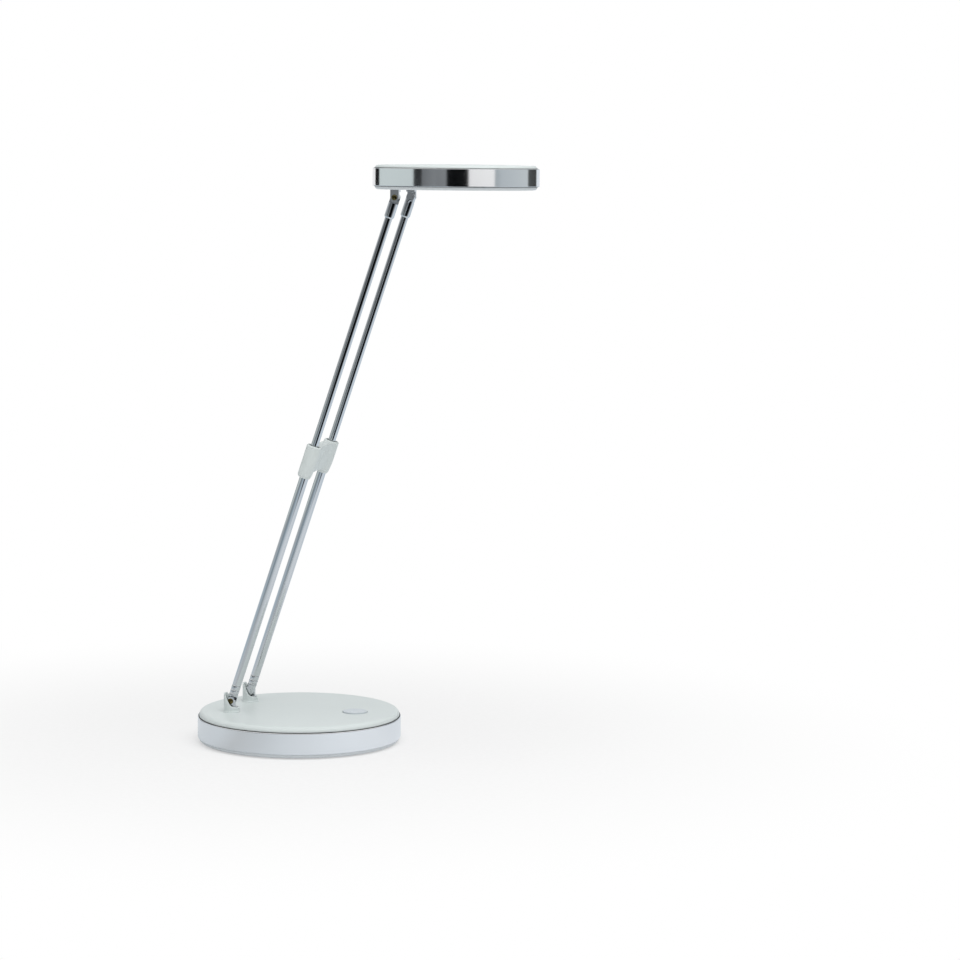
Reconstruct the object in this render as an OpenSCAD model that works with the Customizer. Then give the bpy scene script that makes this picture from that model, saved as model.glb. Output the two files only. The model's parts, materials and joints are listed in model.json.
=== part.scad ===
// Telescopic desk lamp: a weighted round foot, a pair of telescopic arms that swing down
// over it, and a flat round light head that tilts on the ends of the arms.
// Millimetres. +Z is up, +X is the way the lamp reaches, and +Y lies along the pivots.
// The origin is the middle of the foot, on the table. The arms are drawn pulled right out.

/* [Foot] */
// Outer diameter of the bright band round the foot
foot_d = 125; // [122:1:140]
// Height of that band
foot_band_h = 13; // [12.5:0.5:16]
// Height of the band's lower edge above the table
foot_band_z = 2.9; // [2.7:0.1:3.6]
// How far the cover stands above the band
foot_cover_rise = 3.6; // [3.2:0.1:4.6]
// Radius of the cover's outer edge
foot_cover_edge = 3; // [2:0.1:3.1]
// How far the cover and the tray stay inside the band's outer face
foot_inset = 0.9; // [0.6:0.1:1.2]
// From the tray's rim to the edge of the anti-slip pad
pad_margin = 9.6; // [8:0.2:11]
// Thickness of that pad
pad_t = 1.2; // [1:0.1:1.5]
// Depth of the tray's recess that the pad is stuck into
pad_seat = 0.6; // [0.4:0.1:0.8]
// Space between the edge of the ballast disc and the power inlet
ballast_gap = 5.7; // [4:0.1:8]
// Space between the ballast disc and the screws under the driver board
ballast_clear = 1.15; // [1:0.05:2]

/* [Moulded walls and bands] */
// Thickness of the moulded shells
wall = 2; // [1.8:0.1:2.2]
// Radial thickness of both bright bands
band_t = 1.8; // [1.7:0.1:2]
// Rounding of the bands' outer edges
band_edge = 0.6; // [0.3:0.1:0.7]
// Thickness of the inner rims and ribs
rib_t = 1.4; // [1.2:0.1:1.8]

/* [Push button] */
// From the edge of the foot to the middle of the button
button_in = 27; // [24:0.5:30]
// Diameter of the button
button_d = 15; // [12:0.5:16]
// How far the button stands above the cover
button_rise = 0.8; // [0.5:0.1:1.2]
// Depth of the dish in the button's top
button_dish = 0.45; // [0.2:0.05:0.6]
// How far the button goes down when pressed
button_travel = 0.8; // [0.5:0.1:1]

/* [Power inlet] */
// Bore of the round low-voltage inlet
inlet_bore_d = 5.6; // [5.5:0.1:6.5]
// Diameter of the inlet's centre pin
inlet_pin_d = 2.1; // [1.7:0.1:2.5]
// Diameter of the hole in the band that the plug goes through
inlet_hole_d = 8.8; // [8.4:0.1:9.2]

/* [Arms] */
// From the back edge of the foot to the lower pivots
hinge_in = 24.8; // [22:0.1:28]
// Distance between the two arms
arm_gap = 38; // [34:1:42]
// Height of the lower pivots above the cover
hinge_rise = 6.7; // [6.5:0.1:7.2]
// Lean of the arms from upright, as drawn
lean = 18.3; // [0:0.1:60]
// Lower pivot to upper pivot, pulled right out
arm_len = 325; // [320:1:335]
// Length of the sliders that guide the rods inside the tubes
slider_len = 9.5; // [8:0.5:14]
// Outer diameter of the lower tubes
tube_d = 5.5; // [5:0.1:6]
// Wall of the lower tubes
tube_wall = 0.3; // [0.25:0.05:0.4]
// Radial space between the rods and the bore of the tubes
rod_gap = 0.2; // [0.1:0.05:0.3]
// Wall of the upper rods
rod_wall = 0.6; // [0.5:0.05:0.8]
// Wall of the end fittings round the upper rods
ferrule_wall = 0.75; // [0.6:0.05:1]
// Upper pivot to the lower end of those fittings
ferrule_len = 13; // [12:0.5:14]

/* [Half-lap pivots] */
// Radius of the rounded ears and tongues round each pivot
lap_r = 2.6; // [2.4:0.05:2.65]
// How far the outer faces of ears and tongues lie inside the tubes' outline
lap_inset = 0.35; // [0.2:0.05:0.6]
// Space between ear and tongue, filled by a friction washer
lap_gap = 0.4; // [0.3:0.05:0.5]
// Diameter of the pivot screws' shanks
pivot_d = 2.4; // [2:0.1:2.6]
// Diameter of the pivot screws' heads
pivot_head_d = 3.4; // [3:0.1:3.6]

/* [Hoods on the cover] */
// Space between the pivot screws' heads and the bore of the hoods
hood_clear = 0.12; // [0.1:0.02:0.5]
// Wall of the hoods
hood_wall = 1.1; // [0.9:0.1:1.1]
// Height of the hoods' back wall above the cover
hood_h = 12.8; // [10:0.1:14]
// Radius of the scoop that opens a hood at its front
scoop_r = 5.2; // [4.5:0.1:6]
// Steepness of the straight part of that scoop
scoop_slope = 63; // [55:1:70]
// Rounding between a hood and the cover
hood_fillet = 1.2; // [0.6:0.1:1.5]

/* [Clamp that joins the arms] */
// Length of the clamp along the arms
clamp_len = 22; // [20:0.5:24]
// Wall of its two sleeves round the tubes
sleeve_wall = 1.85; // [1.6:0.05:2.2]
// Thickness of its web at the middle
web_t = 5.4; // [4.5:0.1:6]
// How far the web's upper edge dips between the sleeves
web_dip = 1.4; // [1:0.1:2]
// How far the web's lower edge is arched
web_arch = 2; // [1:0.1:3]
// Diameter of the raised grip on the web's front
grip_d = 11; // [8:0.5:12]

/* [Light head] */
// Outer diameter of the bright band round the head
head_d = 100; // [98:1:110]
// Height of that band
head_band_h = 9.6; // [9.2:0.1:12]
// How far the top cover stands above the band
head_rise = 2.9; // [2.6:0.1:3.4]
// How much higher the top cover is at its middle
head_crown = 0.5; // [0.3:0.1:0.8]
// How far the housing reaches below the band
head_drop = 2.6; // [2.4:0.1:3.2]
// How far the cover and the housing stay inside the band's outer face
head_inset = 1.3; // [0.8:0.1:1.4]
// Space between the brackets' plates and the diffuser
bracket_clear = 1.15; // [0.8:0.05:2]
// Upper pivots to the underside of the head
head_gap = 4.7; // [4.6:0.1:5.2]
// From the outside of the band to the edge of the window that the light comes out of
window_margin = 19; // [17:0.5:23]
// Thickness of the diffuser
lens_t = 1.6; // [1.2:0.1:2]
// Diodes in the outer ring, besides six inside and one in the middle
outer_diodes = 13; // [9:1:14]

/* [Hidden] */
$fn = 64;

// A little more, so that cuts run through a face.
e = 0.1;
// Running clearance of the pivots, the rods and the sliders.
running = 0.05;
// Assembly clearance between moulded pieces.
fit = 0.2;
// How much fatter a lead is at its bends.
lead_bend = 1.15;
// How far a lead lies above what it rests on.
lead_lift = 0.05;
// How much deeper a screw hole is than its screw.
hole_over = 0.5;
// Cross recess of the small screws: length, width and depth as shares of their head's size.
cross_l = 0.6;
cross_w = 0.14;
cross_t = 0.5;

// Foot, from the table upwards.
foot_r = foot_d / 2;
tray_z = pad_t - pad_seat;
tray_r = foot_r - foot_inset;
pad_d = 2 * (tray_r - pad_margin);
rim_r = foot_r - band_t - fit;
tray_edge = 0.8 * (foot_band_z - tray_z);
rim_top = foot_band_z + 0.4 * foot_band_h;
band_top = foot_band_z + foot_band_h;
cover_z = band_top + foot_cover_rise;
ceiling_z = cover_z - wall;
skirt_z = foot_band_z + 0.55 * foot_band_h;
low_head_t = 0.85;
board_drop = 6.1;
board_z = ceiling_z - board_drop;
ballast_top = board_z - low_head_t - ballast_clear;
ballast_t = ballast_top - foot_band_z;
inlet_l = 13;
inlet_slack = 0.4;
inlet_face = rim_r - rib_t - inlet_slack;
ballast_r = inlet_face - inlet_l - ballast_gap;
peg_ring_r = 0.75 * ballast_r;
peg_d = 4;
peg_over = 0.8;
shell_round = 1;
rib_h = 2;
rib_ring_r = 12;
rib_turns = [70, 110, 250, 290];

// The screws that hold tray and cover together stand on a ring round the ballast.
pillar_d = 7.4;
pillar_gap = 2.3;
screw_ring_r = ballast_r + pillar_gap + pillar_d / 2;
pillar_low = 2.6;
pillar_split = foot_band_z + pillar_low;
screw_d = 3;
screw_head_d = 5.6;
screw_head_t = 1.8;
screw_len = 9;

// Lower pivots.
hinge_back = foot_r - hinge_in;
hinge_z = cover_z + hinge_rise;
half_gap = arm_gap / 2;
lap_in = lap_gap / 2;
lap_out = tube_d / 2 - lap_inset;
washer_step = 0.3;
washer_r = lap_r - washer_step;
washer_play = 0.02;
pivot_head_t = 0.75;
pivot_reach = lap_out - e;
mouth_gap = 1;
mouth_r = lap_r + mouth_gap;

// Posts that carry the lower pivots, and the bosses under the cover that hold them.
hood_bore_d = 2 * (norm([lap_out + pivot_head_t, pivot_head_d / 2]) + hood_clear);
hood_d = hood_bore_d + 2 * hood_wall;
post_d = hood_bore_d - 2 * fit;
lip_gap = 0.6;
hood_lip_z = hinge_z - lap_r - lip_gap;
scoop_x = 4.2;
hood_flange_t = 0.25;
post_top = hood_lip_z;
boss_t = 3.5;
boss_z = ceiling_z - boss_t;
boss_x = 11;
boss_y = 20;
flange_t = 1.6;
flange_x = 8;
flange_y = 17;
flange_screw_gap = 3;
flange_screw_y = post_d / 2 + flange_screw_gap;
small_screw_d = 2;
small_head_d = 3.6;
small_head_t = 1.2;
small_screw_len = 4.4;
screw_slot_l = 0.66 * pivot_head_d;
screw_slot_w = 0.5;
screw_slot_t = 0.5;

// Button, switch and board, downwards from the cover.
button_x = foot_r - button_in;
button_gap = 0.4;
button_hole_d = button_d + 2 * button_gap;
button_edge = 0.5;
button_wall = 1.5;
button_top_t = 1.6;
dish_rim = 1.2;
button_top = cover_z + button_rise;
button_flange_w = 1.5;
button_flange_d = button_d + 2 * button_flange_w;
button_flange_t = 1;
button_low = ceiling_z - fit - button_flange_t;
collar_wall = 1.6;
collar_t = 2.6;
collar_d = button_flange_d + 2 * collar_wall;
collar_z = ceiling_z - collar_t;
board_t = 1.6;
board_x = 36;
board_y = 28;
board_top = board_z + board_t;
board_post_d = 5;
board_screw_in = 3;
board_screw_x = board_x / 2 - board_screw_in;
board_screw_y = board_y / 2 - board_screw_in;
switch_w = 6;
switch_h = 2.2;
switch_floor = 0.3;
plunger_d = 3.4;
socket_t = 0.8;
socket_up = 0.6;
plunger_play = 0.1;
plunger_low = board_top + switch_floor + button_travel + plunger_play;
stock_h = 1.6;
choke_d = 6.8;
choke_hole_d = 3.2;
choke_at = [5.5, 5];
capacitor_d = 4;
capacitors_at = [[6, -1.9], [6, -6.4]];
chip_x = 4;
chip_y = 5;
chip_in = 7;
chip_t = 1.2;

// Power inlet, at the back of the foot.
inlet_z = foot_band_z + foot_band_h / 2;
inlet_w = 9;
inlet_h = 10;
inlet_collar = 2.5;
inlet_depth = 9.5;
inlet_step = 0.4;
pin_recess = 1;
cradle_t = 1.2;
cheek_x = 3;
cheek_over = 1;
cheek_play = 0.05;

// Leads in the foot, and where they leave the board.
foot_lead_d = 1.4;
pad_in = 2;
pad_x = button_x - board_x / 2 + pad_in;
post_pad_y = 6.5;
inlet_pad_y = 2.5;
lead_end = 4;
lead_rise = 5;

// Arms, along their own line from the lower pivot.
tube_r = tube_d / 2;
tube_bore_r = tube_r - tube_wall;
knuckle_rim = 0.6;
tube_start = mouth_r + knuckle_rim;
rod_r = tube_bore_r - rod_gap;
ferrule_r = rod_r + ferrule_wall;
sleeve_d = tube_d + 2 * sleeve_wall;
bush_wall = 1.25;
bush_d = 2 * (rod_r + bush_wall);
bush_t = 2.4;
bush_seat = 3.6;
knuckle_l = 7.6;
knuckle_end = tube_start + knuckle_l;
rod_play = 0.6;
slider_stop = 0.1;
closed_gap = 2.4;
shut_len = knuckle_end + rod_play + slider_len + slider_stop + bush_seat + closed_gap + ferrule_len;
arm_travel = (arm_len - shut_len) / 2;
rod_start = knuckle_end + rod_play + arm_travel;
slider_top = rod_start + slider_len;
tube_end = slider_top + slider_stop;
clamp_top = tube_end + bush_seat;
clamp_u = clamp_top - clamp_len / 2;
sleeve_top_edge = 0.7;
sleeve_low_edge = 2.2;
web_lift = 1.6;
web_root_t = 7.8;
web_root_in = 2;
web_root_y = half_gap - web_root_in;
grip_proud = 0.9;
smooth = 900;
crimps = [tube_start + 1, tube_start + 3.1, tube_start + 6.1];
crimp_r = 0.35;
crimp_t = crimp_r / 2;
tongue_over = 0.4;
ferrule_tip = 0.15;
rod_in = 5;
rod_end = arm_len - rod_in;
rod_bore_r = rod_r - rod_wall;
neck_wall = 0.3;
neck_r = rod_bore_r + neck_wall;
slider_r = tube_bore_r - running;
slider_play = 0.3;
ferrule_bevel = 1;

// Head, measured from the upper pivots.
head_r = head_d / 2;
shell_r = head_r - head_inset;
under_z = head_gap;
head_band_z = under_z + head_drop;
head_band_top = head_band_z + head_band_h;
head_top = head_band_top + head_rise;
head_rim_r = head_r - band_t - fit;
head_floor = under_z + wall;
head_ceiling = head_top - wall;
window_d = head_d - 2 * window_margin;
window_ledge = 2;
rim_high = head_band_z + 0.7 * head_band_h;
skirt_low = head_band_z + 0.3 * head_band_h;
skirt_r = head_rim_r - rib_t - fit;
snap_h = 1;
snap_proud = 0.4;
peg_r = 27;
terminal_x = 14;
terminal_w = 8;
terminal_h = 3;
lens_r = window_d / 2 + window_ledge;
ledge_t = 0.8;
lens_z = under_z + ledge_t;
board_over = 1;
board_r = window_d / 2 + board_over;
led_space = 4.2;
led_board_z = head_floor + led_space;
led_board_t = 1.2;
diode_w = 5;
diode_t = 1.4;
spreader_t = 1;
bracket_w = 5.2;
bracket_hole = 0.3;
bracket_plate_l = 14.4;
bracket_plate_w = 7;
bracket_screw_in = 1.8;
bracket_screw_x = bracket_plate_l / 2 - bracket_screw_in;
bracket_ring_r = lens_r + bracket_clear + bracket_plate_w / 2;
head_reach = sqrt(pow(bracket_ring_r, 2) - pow(half_gap, 2));
bracket_turn = -atan2(head_reach, half_gap);
bracket_plate_t = 1.4;
bracket_bite = 1.1;
bracket_hole_t = 1.2;
head_cover_edge = 2.2;
housing_edge = 0.75 * head_drop;
crown_steps = 8;
cover_round = 0.6;
dish_wall = 1;
dish_foot_r = lens_r - fit;
dish_top_in = 1.4;
dish_top_r = board_r - dish_top_in;
diode_rings = [0.34 * window_d / 2, 0.72 * window_d / 2];
diode_lens_d = 0.72 * diode_w;
diode_lens_t = 0.4;
head_lead_d = 1.2;
head_lead_end = 2;
shoulder_gap = 0.5;
shoulder_z = lap_r + shoulder_gap;

// Where the upper pivots are, with the arms drawn out and leaning.
head_px = -hinge_back + arm_len * sin(lean);
head_pz = hinge_z + arm_len * cos(lean);

// A child drawn on the front arm's line is carried to the front arm, towards -Y, or mirrored
// to the rear arm, towards +Y.
module at_front() {
    translate([0, -half_gap, 0]) children();
}

module at_rear() {
    mirror([0, 1, 0]) at_front() children();
}

module at_each_arm() {
    at_front() children();
    at_rear() children();
}

// A child drawn from the lower pivot, with +Z along the arm.
module along_arm() {
    translate([-hinge_back, 0, hinge_z]) rotate([0, lean, 0]) children();
}

// A child drawn from the upper pivot, in the head's own level frame.
module in_head() {
    translate([head_px, 0, head_pz]) children();
}

// What is left of a square corner outside its rounding, to be cut away. Its corner is the
// origin, and the rounding lies on the side that the two signs give.
module corner_waste(r, sx, sy) {
    difference() {
        translate([min(0, sx * r), min(0, sy * r)]) square([r, r]);
        translate([sx * r, sy * r]) circle(r = r);
    }
}

// A concave rounding that fills the corner between a wall at the left and a floor below,
// and bites a little into both.
module corner_fillet(r) {
    difference() {
        translate([-e, -e]) square([r + e, r + e]);
        translate([r, r]) circle(r = r);
    }
}

// Section of a solid of revolution between two radii and two heights, with rounded outer edges.
module ring_section(r0, r1, z0, z1, top = 0, bottom = 0) {
    difference() {
        translate([r0, z0]) square([r1 - r0, z1 - z0]);
        if (top > 0) translate([r1, z1]) corner_waste(top, -1, -1);
        if (bottom > 0) translate([r1, z0]) corner_waste(bottom, -1, 1);
    }
}

module tube(r, bore, z0, z1) {
    difference() {
        translate([0, 0, z0]) cylinder(r = r, h = z1 - z0);
        translate([0, 0, z0 - e]) cylinder(r = bore, h = z1 - z0 + 2 * e);
    }
}

// Radius of the arc that rises by a height over half its chord.
function sagitta_r(half_chord, rise) = (pow(half_chord, 2) + pow(rise, 2)) / (2 * rise);

// A cylinder that lies along Y, from y0 to y1.
module bar_y(r, y0, y1) {
    translate([0, y1, 0]) rotate([90, 0, 0]) cylinder(r = r, h = y1 - y0);
}

module block(x0, x1, y0, y1, z0, z1) {
    translate([x0, y0, z0]) cube([x1 - x0, y1 - y0, z1 - z0]);
}

// An insulated lead through a few points, a little fatter where it bends.
module lead(points, d) {
    for (i = [0 : len(points) - 2]) {
        a = points[i];
        b = points[i + 1];
        run = b - a;
        turn = atan2(run[1], run[0]);
        dip = acos(run[2] / norm(run));
        translate(a) rotate([0, dip, turn]) cylinder(d = d, h = norm(run));
        if (i > 0) translate(a) sphere(d = d * lead_bend);
    }
}

// A pan-head screw that points down, with its head's bearing face at the origin.
module small_screw(d, len, head_d, head_t) {
    half_l = head_d * cross_l / 2;
    half_w = head_d * cross_w / 2;
    translate([0, 0, -len]) cylinder(d = d, h = len + e);
    difference() {
        cylinder(d = head_d, h = head_t);
        for (a = [0, 90]) rotate([0, 0, a])
            block(-half_l, half_l, -half_w, half_w, head_t * (1 - cross_t), head_t + e);
    }
}

// Foot

module foot_pad() {
    color("dimgray") cylinder(d = pad_d, h = pad_t);
}

module at_foot_screws() {
    for (a = [45 : 90 : 315]) rotate([0, 0, a]) translate([screw_ring_r, 0, 0]) children();
}

module inlet_passage() {
    translate([-foot_r - e, 0, inlet_z]) rotate([0, 90, 0])
        cylinder(d = inlet_hole_d, h = foot_r + e - inlet_face);
}

module foot_tray() {
    color("lightsteelblue") difference() {
        union() {
            rotate_extrude() {
                ring_section(0, tray_r, tray_z, foot_band_z, 0, tray_edge);
                translate([rim_r - rib_t, foot_band_z - e]) square([rib_t, rim_top - foot_band_z + e]);
            }
            at_foot_screws() cylinder(d = pillar_d, h = pillar_split);
            for (a = [0 : 120 : 240]) rotate([0, 0, a]) translate([peg_ring_r, 0, foot_band_z - e])
                cylinder(d = peg_d, h = ballast_t + peg_over + e);
            cradle();
        }
        translate([0, 0, -e]) cylinder(d = pad_d + fit, h = pad_t + e);
        at_foot_screws() {
            translate([0, 0, -e]) cylinder(d = screw_d + fit, h = pillar_split + 2 * e);
            translate([0, 0, -e]) cylinder(d = screw_head_d + fit, h = pad_t + screw_head_t + e);
        }
        inlet_passage();
    }
}

// Seat for the power inlet on the tray's floor, with a cheek at each side.
module cradle() {
    back = inlet_face - inlet_l;
    seat = inlet_z - inlet_h / 2;
    block(-inlet_face, -back, -inlet_w / 2 - cradle_t, inlet_w / 2 + cradle_t, foot_band_z - e, seat);
    cheek_y = inlet_w / 2 + cradle_t / 2 + cheek_play;
    for (s = [-1, 1]) translate([-inlet_face + cheek_x, s * cheek_y, 0])
        block(0, inlet_l - cheek_x, -cradle_t / 2, cradle_t / 2, foot_band_z - e, inlet_z + cheek_over);
}

module foot_band() {
    color("silver") difference() {
        rotate_extrude()
            ring_section(foot_r - band_t, foot_r, foot_band_z, band_top, band_edge, band_edge);
        inlet_passage();
    }
}

// The scoop that opens a hood: a round cut across it, low at the front, which runs out
// upwards and back in a straight slope.
module hood_scoop() {
    a = 90 - scoop_slope;
    run = hood_h + scoop_r;
    middle = [scoop_x, hood_lip_z + scoop_r];
    touch = middle - scoop_r * [cos(a), sin(a)];
    top = touch + run * [-sin(a), cos(a)];
    translate([0, hood_d, 0]) rotate([90, 0, 0]) linear_extrude(height = 2 * hood_d) {
        translate(middle) circle(r = scoop_r);
        polygon([touch, top, [scoop_x + scoop_r, top[1]], [scoop_x + scoop_r, middle[1]], middle]);
    }
}

// A hood: a scooped tube with a rounded foot that stands on the cover, and a spigot that is
// pressed through it.
module hood() {
    color("whitesmoke") difference() {
        union() {
            translate([0, 0, ceiling_z]) cylinder(d = hood_d, h = hood_h + wall);
            translate([0, 0, cover_z]) cylinder(r = hood_d / 2 + hood_fillet, h = hood_flange_t);
            translate([0, 0, cover_z + hood_flange_t]) rotate_extrude()
                translate([hood_d / 2, 0]) corner_fillet(hood_fillet);
        }
        hood_scoop();
        translate([0, 0, ceiling_z - e]) cylinder(d = hood_bore_d, h = hood_h + wall + 2 * e);
    }
}

module hood_front() {
    translate([-hinge_back, 0, 0]) at_front() hood();
}

module hood_rear() {
    translate([-hinge_back, 0, 0]) at_rear() hood();
}

module foot_cover() {
    color("whitesmoke") difference() {
        union() {
            cover_shell();
            translate([-hinge_back, 0, 0]) at_each_arm()
                block(-boss_x / 2, boss_x / 2, -boss_y / 2, boss_y / 2, boss_z, ceiling_z + e);
            at_foot_screws() translate([0, 0, pillar_split])
                cylinder(d = pillar_d, h = ceiling_z + e - pillar_split);
            translate([button_x, 0, 0]) {
                translate([0, 0, collar_z]) cylinder(d = collar_d, h = ceiling_z + e - collar_z);
                at_board_screws() translate([0, 0, board_top])
                    cylinder(d = board_post_d, h = ceiling_z + e - board_top);
            }
            cover_ribs();
        }
        translate([-hinge_back, 0, 0]) at_each_arm() {
            translate([0, 0, boss_z - e]) cylinder(d = hood_bore_d, h = ceiling_z - boss_z + 2 * e);
            translate([0, 0, ceiling_z]) cylinder(r = hood_d / 2 + running, h = wall + e);
            at_flange_screws() translate([0, 0, boss_z - e])
                cylinder(d = small_screw_d, h = small_screw_len - flange_t + hole_over);
        }
        at_foot_screws() translate([0, 0, pillar_split - e])
            cylinder(d = screw_d, h = pad_t + screw_head_t + screw_len + hole_over - pillar_split + e);
        translate([button_x, 0, 0]) {
            translate([0, 0, ceiling_z - e]) cylinder(d = button_hole_d, h = wall + 2 * e);
            translate([0, 0, collar_z - e])
                cylinder(d = button_flange_d + 2 * fit, h = ceiling_z - collar_z + e);
            at_board_screws() translate([0, 0, board_top - e])
                cylinder(d = small_screw_d, h = small_screw_len - board_t + hole_over + e);
        }
        inlet_passage();
    }
}

// The cover itself: a flat top that rolls over at its edge, and a skirt inside the band.
module cover_shell() {
    inner_r = rim_r - rib_t;
    rotate_extrude() difference() {
        union() {
            ring_section(0, tray_r, band_top, cover_z, foot_cover_edge);
            ring_section(inner_r, rim_r, skirt_z, band_top + e);
        }
        ring_section(-e, inner_r, skirt_z - e, ceiling_z, shell_round);
    }
}

// Ribs under the cover: one ring, and spokes that keep clear of the bosses and the board.
module cover_ribs() {
    rib_z = ceiling_z - rib_h;
    tube(rib_ring_r, rib_ring_r - rib_t, rib_z, ceiling_z + e);
    for (a = rib_turns) rotate([0, 0, a])
        block(rib_ring_r - rib_t / 2, rim_r - rib_t / 2, -rib_t / 2, rib_t / 2, rib_z, ceiling_z + e);
}

// Four screws from below, hidden by the pad.
module foot_screws() {
    color("gray") at_foot_screws() translate([0, 0, pad_t + screw_head_t]) rotate([180, 0, 0])
        small_screw(screw_d, screw_len, screw_head_d, screw_head_t - fit);
}

module ballast() {
    color("slategray") difference() {
        translate([0, 0, foot_band_z]) cylinder(r = ballast_r, h = ballast_t);
        for (a = [0 : 120 : 240]) rotate([0, 0, a]) translate([peg_ring_r, 0, foot_band_z - e])
            cylinder(d = peg_d + fit, h = ballast_t + 2 * e);
    }
}

// Lower pivots

module at_flange_screws() {
    for (s = [-1, 1]) translate([0, s * flange_screw_y, 0]) children();
}

// A post with a half-lap ear at its top and a flange that is screwed up under the cover.
module post() {
    color("silver") difference() {
        union() {
            translate([0, 0, boss_z - flange_t]) cylinder(d = post_d, h = post_top - boss_z + flange_t);
            block(-flange_x / 2, flange_x / 2, -flange_y / 2, flange_y / 2, boss_z - flange_t, boss_z);
            intersection() {
                block(-lap_r, lap_r, -lap_out, -lap_in, post_top - e, hinge_z + lap_r);
                union() {
                    translate([0, 0, hinge_z]) bar_y(lap_r, -lap_out, -lap_in);
                    block(-lap_r, lap_r, -lap_out, -lap_in, post_top - e, hinge_z);
                }
            }
        }
        translate([0, 0, hinge_z]) pivot_hole(running);
        at_flange_screws() translate([0, 0, boss_z - flange_t - e])
            cylinder(d = small_screw_d + fit, h = flange_t + 2 * e);
    }
}

// The screw hole across an ear or a tongue: loose under a screw's head, tight at its thread.
module pivot_hole(clearance) {
    bar_y(pivot_d / 2 + clearance, -lap_out - e, lap_out + e);
}

// A pivot screw, whose head bears on the outer face of the ear, towards -Y.
module pivot_screw() {
    color("darkgoldenrod") difference() {
        union() {
            bar_y(pivot_d / 2, -lap_out, pivot_reach);
            bar_y(pivot_head_d / 2, -lap_out - pivot_head_t, -lap_out);
        }
        translate([0, -lap_out - pivot_head_t, 0]) for (a = [0, 90]) rotate([0, a, 0])
            block(-screw_slot_l / 2, screw_slot_l / 2, -e, screw_slot_t,
                -screw_slot_w / 2, screw_slot_w / 2);
    }
}

module pivot_washer() {
    color("dimgray") difference() {
        bar_y(washer_r, -lap_in + washer_play, lap_in - washer_play);
        bar_y(pivot_d / 2 + running, -lap_gap, lap_gap);
    }
}

module post_front() {
    translate([-hinge_back, 0, 0]) at_front() post();
}

module post_rear() {
    translate([-hinge_back, 0, 0]) at_rear() post();
}

module post_screws() {
    color("gray") translate([-hinge_back, 0, boss_z - flange_t]) at_each_arm()
        at_flange_screws() rotate([180, 0, 0])
            small_screw(small_screw_d, small_screw_len, small_head_d, small_head_t);
}

module lower_pivot_washers() {
    translate([-hinge_back, 0, hinge_z]) at_each_arm() pivot_washer();
}

module lower_pivot_screws() {
    along_arm() at_each_arm() pivot_screw();
}

// Button and electrics in the foot

module at_board_screws() {
    for (x = [-1, 1], y = [-1, 1])
        translate([x * board_screw_x, y * board_screw_y, 0]) children();
}

// A dished cap, held under the cover by its flange.
module button_cap() {
    dish_r = sagitta_r(button_d / 2 - dish_rim, button_dish);
    color("gainsboro") translate([button_x, 0, 0]) difference() {
        union() {
            rotate_extrude() ring_section(0, button_d / 2, button_low, button_top, button_edge);
            translate([0, 0, button_low]) cylinder(d = button_flange_d, h = button_flange_t);
        }
        translate([0, 0, button_top + dish_r - button_dish]) sphere(r = dish_r, $fn = 200);
        translate([0, 0, button_low - e]) difference() {
            cylinder(d = button_d - 2 * button_wall, h = button_top - button_top_t - button_low + e);
            tube(plunger_d / 2 + socket_t, plunger_d / 2, socket_up + e, button_top - button_low);
        }
    }
}

module switch_plunger() {
    color("dimgray") translate([button_x, 0, plunger_low])
        cylinder(d = plunger_d, h = button_top - button_top_t - plunger_low);
}

module switch_body() {
    w = switch_w / 2;
    color("black") translate([button_x, 0, 0]) difference() {
        block(-w, w, -w, w, board_top, board_top + switch_h);
        translate([0, 0, board_top + switch_floor]) cylinder(d = plunger_d + fit, h = switch_h);
    }
}

module driver_board() {
    color("darkgreen") translate([button_x, 0, 0]) difference() {
        block(-board_x / 2, board_x / 2, -board_y / 2, board_y / 2, board_z, board_top);
        at_board_screws() translate([0, 0, board_z - e])
            cylinder(d = small_screw_d + fit, h = board_t + 2 * e);
    }
}

module board_screws() {
    color("gray") translate([button_x, 0, board_z]) at_board_screws() rotate([180, 0, 0])
        small_screw(small_screw_d, small_screw_len, small_head_d, low_head_t);
}

// Parts that stand on the driver board: a wound choke, two capacitors and a chip.
module coil_and_capacitors() {
    color("darkslategray") translate([button_x - board_x / 2, 0, board_top]) {
        translate(choke_at) tube(choke_d / 2, choke_hole_d / 2, 0, stock_h);
        for (p = capacitors_at) translate(p) cylinder(d = capacitor_d, h = stock_h);
        translate([board_x - chip_in, 0, 0])
            block(-chip_x / 2, chip_x / 2, -chip_y / 2, chip_y / 2, 0, chip_t);
    }
}

// A round low-voltage socket with a recessed centre pin.
module power_inlet() {
    color("black") difference() {
        block(-inlet_face, -inlet_face + inlet_l, -inlet_w / 2, inlet_w / 2,
            inlet_z - inlet_h / 2, inlet_z + inlet_h / 2);
        translate([-inlet_face - e, 0, inlet_z]) rotate([0, 90, 0])
            cylinder(d = inlet_bore_d, h = inlet_collar + 2 * e);
        translate([-inlet_face + inlet_collar, 0, inlet_z]) rotate([0, 90, 0])
            cylinder(d = inlet_bore_d + 2 * inlet_step, h = inlet_depth - inlet_collar);
    }
}

module inlet_pin() {
    start = inlet_collar + pin_recess;
    color("silver") translate([-inlet_face + start, 0, inlet_z]) rotate([0, 90, 0])
        cylinder(d = inlet_pin_d, h = inlet_depth - start);
}

// Leads from the board to the two posts, which feed the arms.
module foot_leads() {
    z = ballast_top + foot_lead_d * lead_bend / 2 + lead_lift;
    end_x = -hinge_back + flange_x / 2;
    end_z = boss_z - flange_t / 2;
    color("firebrick") for (s = [-1, 1]) lead([
        [pad_x, s * post_pad_y, board_z],
        [pad_x, s * post_pad_y, z],
        [end_x + lead_end + lead_rise, s * half_gap, z],
        [end_x + lead_end, s * half_gap, end_z],
        [end_x, s * half_gap, end_z]
    ], foot_lead_d);
}

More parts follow.
